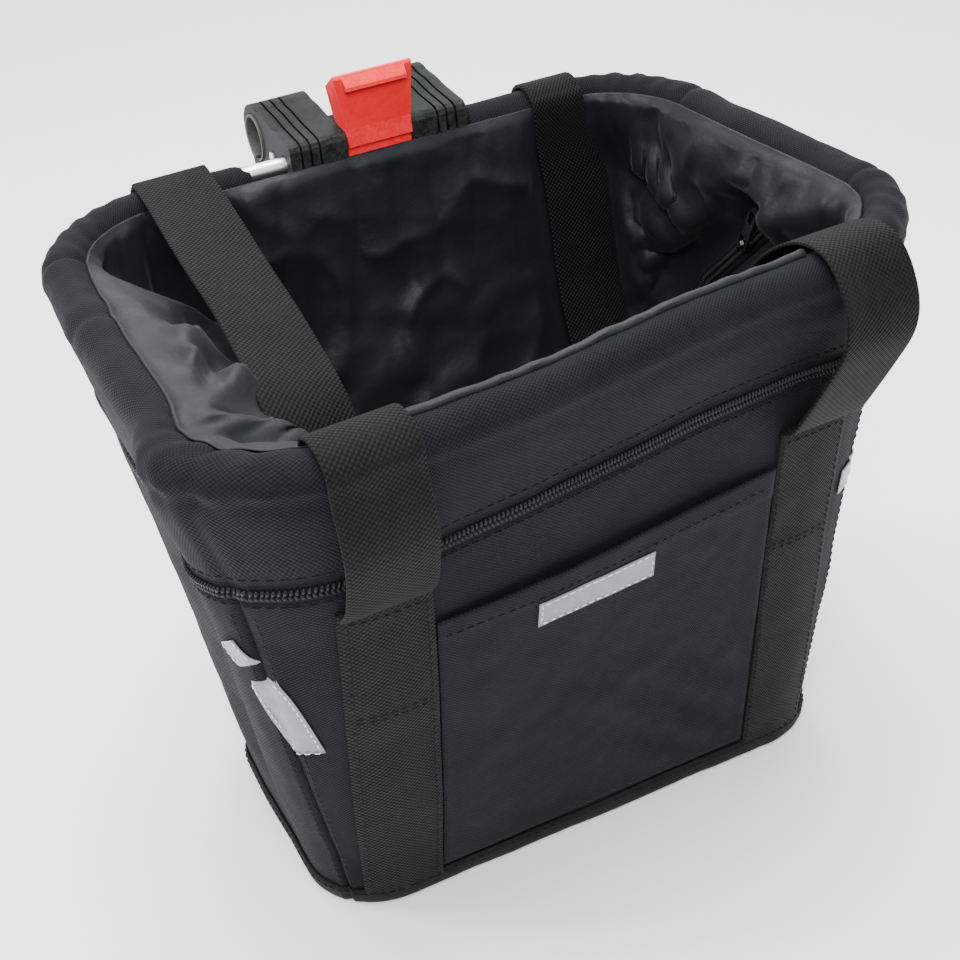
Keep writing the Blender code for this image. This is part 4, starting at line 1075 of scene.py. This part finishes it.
def build_pocket():
    xs = [lerp(-POCKET_HALF, POCKET_HALF, k / 70) for k in range(71)]
    rows = [[pocket_point(x, lerp(POCKET_LOW, pocket_top(x), k / 74)) for x in xs] for k in range(75)]
    obj = sheet_mesh("pocket_cloth", rows, "fabric", 0.0010)
    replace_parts(obj, "front_pocket")
    slope = (wall_point(0.5, POCKET_TOP) - wall_point(0.5, POCKET_LOW)).length
    run = []
    for k in range(81):
        x = lerp(-0.084, 0.084, k / 80)
        run.append(pocket_frame(x, pocket_top(x) - 0.0105, 0.0001))
    stitch_mesh("pocket_stitches", [run], "thread")
    x_low, x_high, z_low, z_high = -0.042, 0.019, 0.1725, 0.1875
    rows = []
    for k in range(7):
        z = lerp(z_low, z_high, k / 6)
        rows.append([pocket_point(lerp(x_low, x_high, j / 24), z, 0.0011) for j in range(25)])
    strip("reflector_front_tape", rows, "reflective", "reflector_front")
    inset = 0.0014
    corners = [(x_low + inset, z_low + inset), (x_high - inset, z_low + inset),
               (x_high - inset, z_high - inset), (x_low + inset, z_high - inset)]
    runs = [border_run(corners, lambda x, z: pocket_frame(x, z, 0.0012))]
    for name, start, middle, end in (
            ("left", (7.35, 0.2000), (7.49, 0.1750), (7.58, 0.1290)),
            ("right", (1.33, 0.1690), (1.85, 0.1650), (2.20, 0.1640))):
        path = smooth_path([Vector((*p, 0)) for p in (start, middle, end)], 14)
        rows, edge = [], []
        for share in (-1.0, -0.6, -0.2, 0.2, 0.6, 1.0):
            rows.append([tape_point(path, i, 0.0068 * share) for i in range(len(path))])
        sunk = 0.0040 if name == "left" else 0.0
        rows = [[on_wall(u, z, 0.0012 - sunk * bell(j / len(row), 0.36, 0.07))
                 for j, (u, z) in enumerate(row)] for row in rows]
        strip(f"reflector_{name}_tape", rows, "reflective", f"reflector_{name}")
        for side in (-1, 1):
            last = len(path) - 1
            for a, b in ((0.0, 0.26), (0.48, 1.0)) if sunk else ((0.0, 1.0),):
                edge.append([wall_frame(*tape_point(path, i, 0.0055 * side), 0.0013)
                             for i in range(round(a * last), round(b * last) + 1)])
        for i in (0, len(path) - 1):
            edge.append([wall_frame(*tape_point(path, i, 0.0055 * k / 4), 0.0013) for k in range(-4, 5)])
        runs += edge
    stitch_mesh("reflector_stitches", runs, "pale_thread", length=0.0026, gap=0.0014)


# ---------------------------------------------------------------- zippers
def coil_mesh(name, track):
    """Two rows of coil loops along a track of (point, along, across, normal)."""
    verts, faces = [], []
    points = [f[0] for f in track]
    run = lengths(points)
    sides = 6
    count = int(run[-1] / COIL_PITCH)
    j = 0
    for k in range(count):
        want = (k + 0.5) * COIL_PITCH
        while j < len(run) - 2 and run[j + 1] < want:
            j += 1
        f = (want - run[j]) / max(1e-9, run[j + 1] - run[j])
        centre = points[j].lerp(points[j + 1], f)
        _, along, across, normal = track[j]
        for row, shift in ((-1, 0.0), (1, COIL_PITCH / 2)):
            base = len(verts)
            for share, rise, size in ((0.06, 0.15, 0.55), (0.22, 0.75, 1.0), (0.72, 0.75, 1.0),
                                      (1.0, 0.05, 0.7)):
                mid = (centre + across * (row * COIL_REACH * share) + along * (shift + 0.0007 * (share - 0.5))
                       + normal * (0.0006 + COIL_FAT * rise))
                for q in range(sides):
                    a = 2 * math.pi * q / sides
                    verts.append(mid + along * (0.8 * COIL_FAT * size * math.cos(a))
                                 + normal * (COIL_FAT * size * math.sin(a)))
            for r in range(3):
                for q in range(sides):
                    n = (q + 1) % sides
                    a, b = base + r * sides, base + (r + 1) * sides
                    face = (a + q, a + n, b + n, b + q)
                    faces.append(face if row > 0 else tuple(reversed(face)))
            first = tuple(base + q for q in range(sides))
            last = tuple(base + 3 * sides + q for q in range(sides))
            faces.append(tuple(reversed(first)) if row > 0 else first)
            faces.append(last if row > 0 else tuple(reversed(last)))
    return finish_piece(name, verts, faces, None, "coil", 180)


def track_on(points_of, path):
    """Zipper track from surface frames along a path."""
    frames = [points_of(*p) for p in path]
    track = []
    for i, (point, normal) in enumerate(frames):
        along = (frames[min(i + 1, len(frames) - 1)][0] - frames[max(i - 1, 0)][0]).normalized()
        track.append((point, along, normal.cross(along).normalized(), normal))
    return track


def build_front_zipper():
    us = u_steps(5.72, 11.28, 0.003)
    rows = []
    for share in (-1.15, -0.9, -0.55, -0.2, 0.2, 0.55, 0.9, 1.15):
        lift = -0.0012 if abs(share) > 1 else -0.0006
        rows.append([on_wall(u, zip_line(u) + ZIP_HALF * share, lift) for u in us])
    obj = sheet_mesh("front_zip_tape", rows, "tape", 0.0008)
    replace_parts(obj, "front_zipper")
    track = track_on(lambda u: wall_frame(u, zip_line(u), -0.0006), [(u,) for u in us])
    coil_mesh("front_zip_coil", track)
    runs = []
    for shift, lift in ((ZIP_HALF + 0.0030, 0.0004), (-ZIP_HALF - 0.0022, 0.0001)):
        runs.append([wall_frame(u, zip_line(u) + shift, lift) for u in us])
    stitch_mesh("zip_stitches", runs, "thread")


# ---------------------------------------------------------------- base
def build_base():
    us = u_steps(0.0, 8.0, 0.004)[:-1]
    rings = []
    for share in [k / 20 for k in range(20, 0, -1)]:
        ring = []
        for u in us:
            edge = wall_point(u, 0.0, 0.0)
            rise = 0.0012 * (1 - step(0.93, 1.0, 1 - (share - 0.93) if share > 0.93 else 1.0))
            ring.append(Vector((edge.x * share, edge.y * share, rise)))
        rings.append(ring)
    rings = [list(reversed(ring)) for ring in rings]
    obj = sheet_mesh("base_cloth", rings, "fabric", 0.0016, wrap=True)
    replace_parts(obj, "base_panel")
    us = u_steps(0.0, 8.0, 0.003)[:-1]
    rows = []
    for z, lift in ((0.0006, -0.0010), (0.0008, 0.0012), (0.0022, 0.0024), (0.0050, 0.0027),
                    (0.0080, 0.0025), (0.0108, 0.0022), (0.0120, 0.0012), (0.0118, 0.0001)):
        rows.append([on_wall(u, max(z, 0.0), lift + 0.0003 * rough(wall_point(u, z), 0.012, 2, 31.0))
                     for u in us])
    obj = sheet_mesh("binding_tape", rows, "binding", 0.0008, wrap=True)
    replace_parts(obj, "base_binding")
    us = u_steps(0.0, 8.0, 0.004)
    stitch_mesh("binding_stitches", [[wall_frame(u, 0.0095, 0.0026) for u in us]], "thread")


# ---------------------------------------------------------------- carried-over CAD nodes
def dress_cad():
    looks = {"zip": "coil"}    # every other slot has the name of its material
    slots = {row["node"]: row["material_slot"] for row in frame["record"]["subparts"]}
    for name, obj in frame["nodes"].items():
        if obj.hide_render:
            continue
        slot = slots[name]
        mat = MATS[looks.get(slot, slot)]
        obj.data.materials.clear()
        obj.data.materials.append(mat)
    for name, width in (("bracket_body", 0.0006), ("latch_lever", 0.0006), ("front_zip_slider", 0.0003),
                        ("front_zip_pull", 0.0003), ("inner_zip_slider", 0.0003), ("inner_zip_pull", 0.0003),
                        ("clamp_screw_left", 0.0003), ("clamp_screw_right", 0.0003),
                        ("clamp_nut_left", 0.0003), ("clamp_nut_right", 0.0003), ("tie_pin", 0.0004)):
        obj = frame["nodes"][name]
        mod = obj.modifiers.new("rounded_edges", "BEVEL")
        mod.width, mod.segments, mod.limit_method = width, 2, "ANGLE"
        mod.angle_limit = math.radians(32)
        mod.use_clamp_overlap = True
        mod.harden_normals = False


# ---------------------------------------------------------------- stage
def area_light(name, place, target, size, power):
    data = bpy.data.lights.new(name, "AREA")
    data.shape, data.size, data.energy = "DISK", size, power
    lamp = bpy.data.objects.new(name, data)
    lamp.location = place
    lamp.rotation_euler = (Vector(target) - Vector(place)).to_track_quat("-Z", "Y").to_euler()
    bpy.context.scene.collection.objects.link(lamp)


def build_stage():
    bm = bmesh.new()
    bmesh.ops.create_grid(bm, x_segments=1, y_segments=1, size=4.0)
    mesh = bpy.data.meshes.new("floor")
    bm.to_mesh(mesh)
    bm.free()
    floor = bpy.data.objects.new("floor", mesh)
    floor.location.z = -0.0002
    mat = bpy.data.materials.new("floor_paper")
    mat.use_nodes = True
    shader = mat.node_tree.nodes["Principled BSDF"]
    shader.inputs["Base Color"].default_value = (0.92, 0.92, 0.92, 1.0)
    shader.inputs["Roughness"].default_value = 0.9
    mesh.materials.append(mat)
    bpy.context.scene.collection.objects.link(floor)
    world = bpy.data.worlds.new("studio")
    bpy.context.scene.world = world
    world.use_nodes = True
    world.node_tree.nodes["Background"].inputs["Color"].default_value = (0.95, 0.97, 1.0, 1.0)
    world.node_tree.nodes["Background"].inputs["Strength"].default_value = 1.30
    area_light("top", (0.05, 0.25, 2.1), (0, 0.0, 0.2), 1.5, 76)
    area_light("key", (-1.1, 0.5, 0.95), (0, 0, 0.25), 0.40, 14)
    area_light("front", (-0.45, -1.0, 1.25), (0, 0.03, 0.22), 0.7, 24)
    area_light("rear", (0.6, 1.4, 1.3), (0, 0, 0.2), 0.8, 9)


build_outer()
build_cover()
build_rim_tube()
build_lining()
build_lining_edge()
build_inner_zipper()
build_handles()
build_pocket()
build_front_zipper()
build_base()
dress_cad()
build_stage()
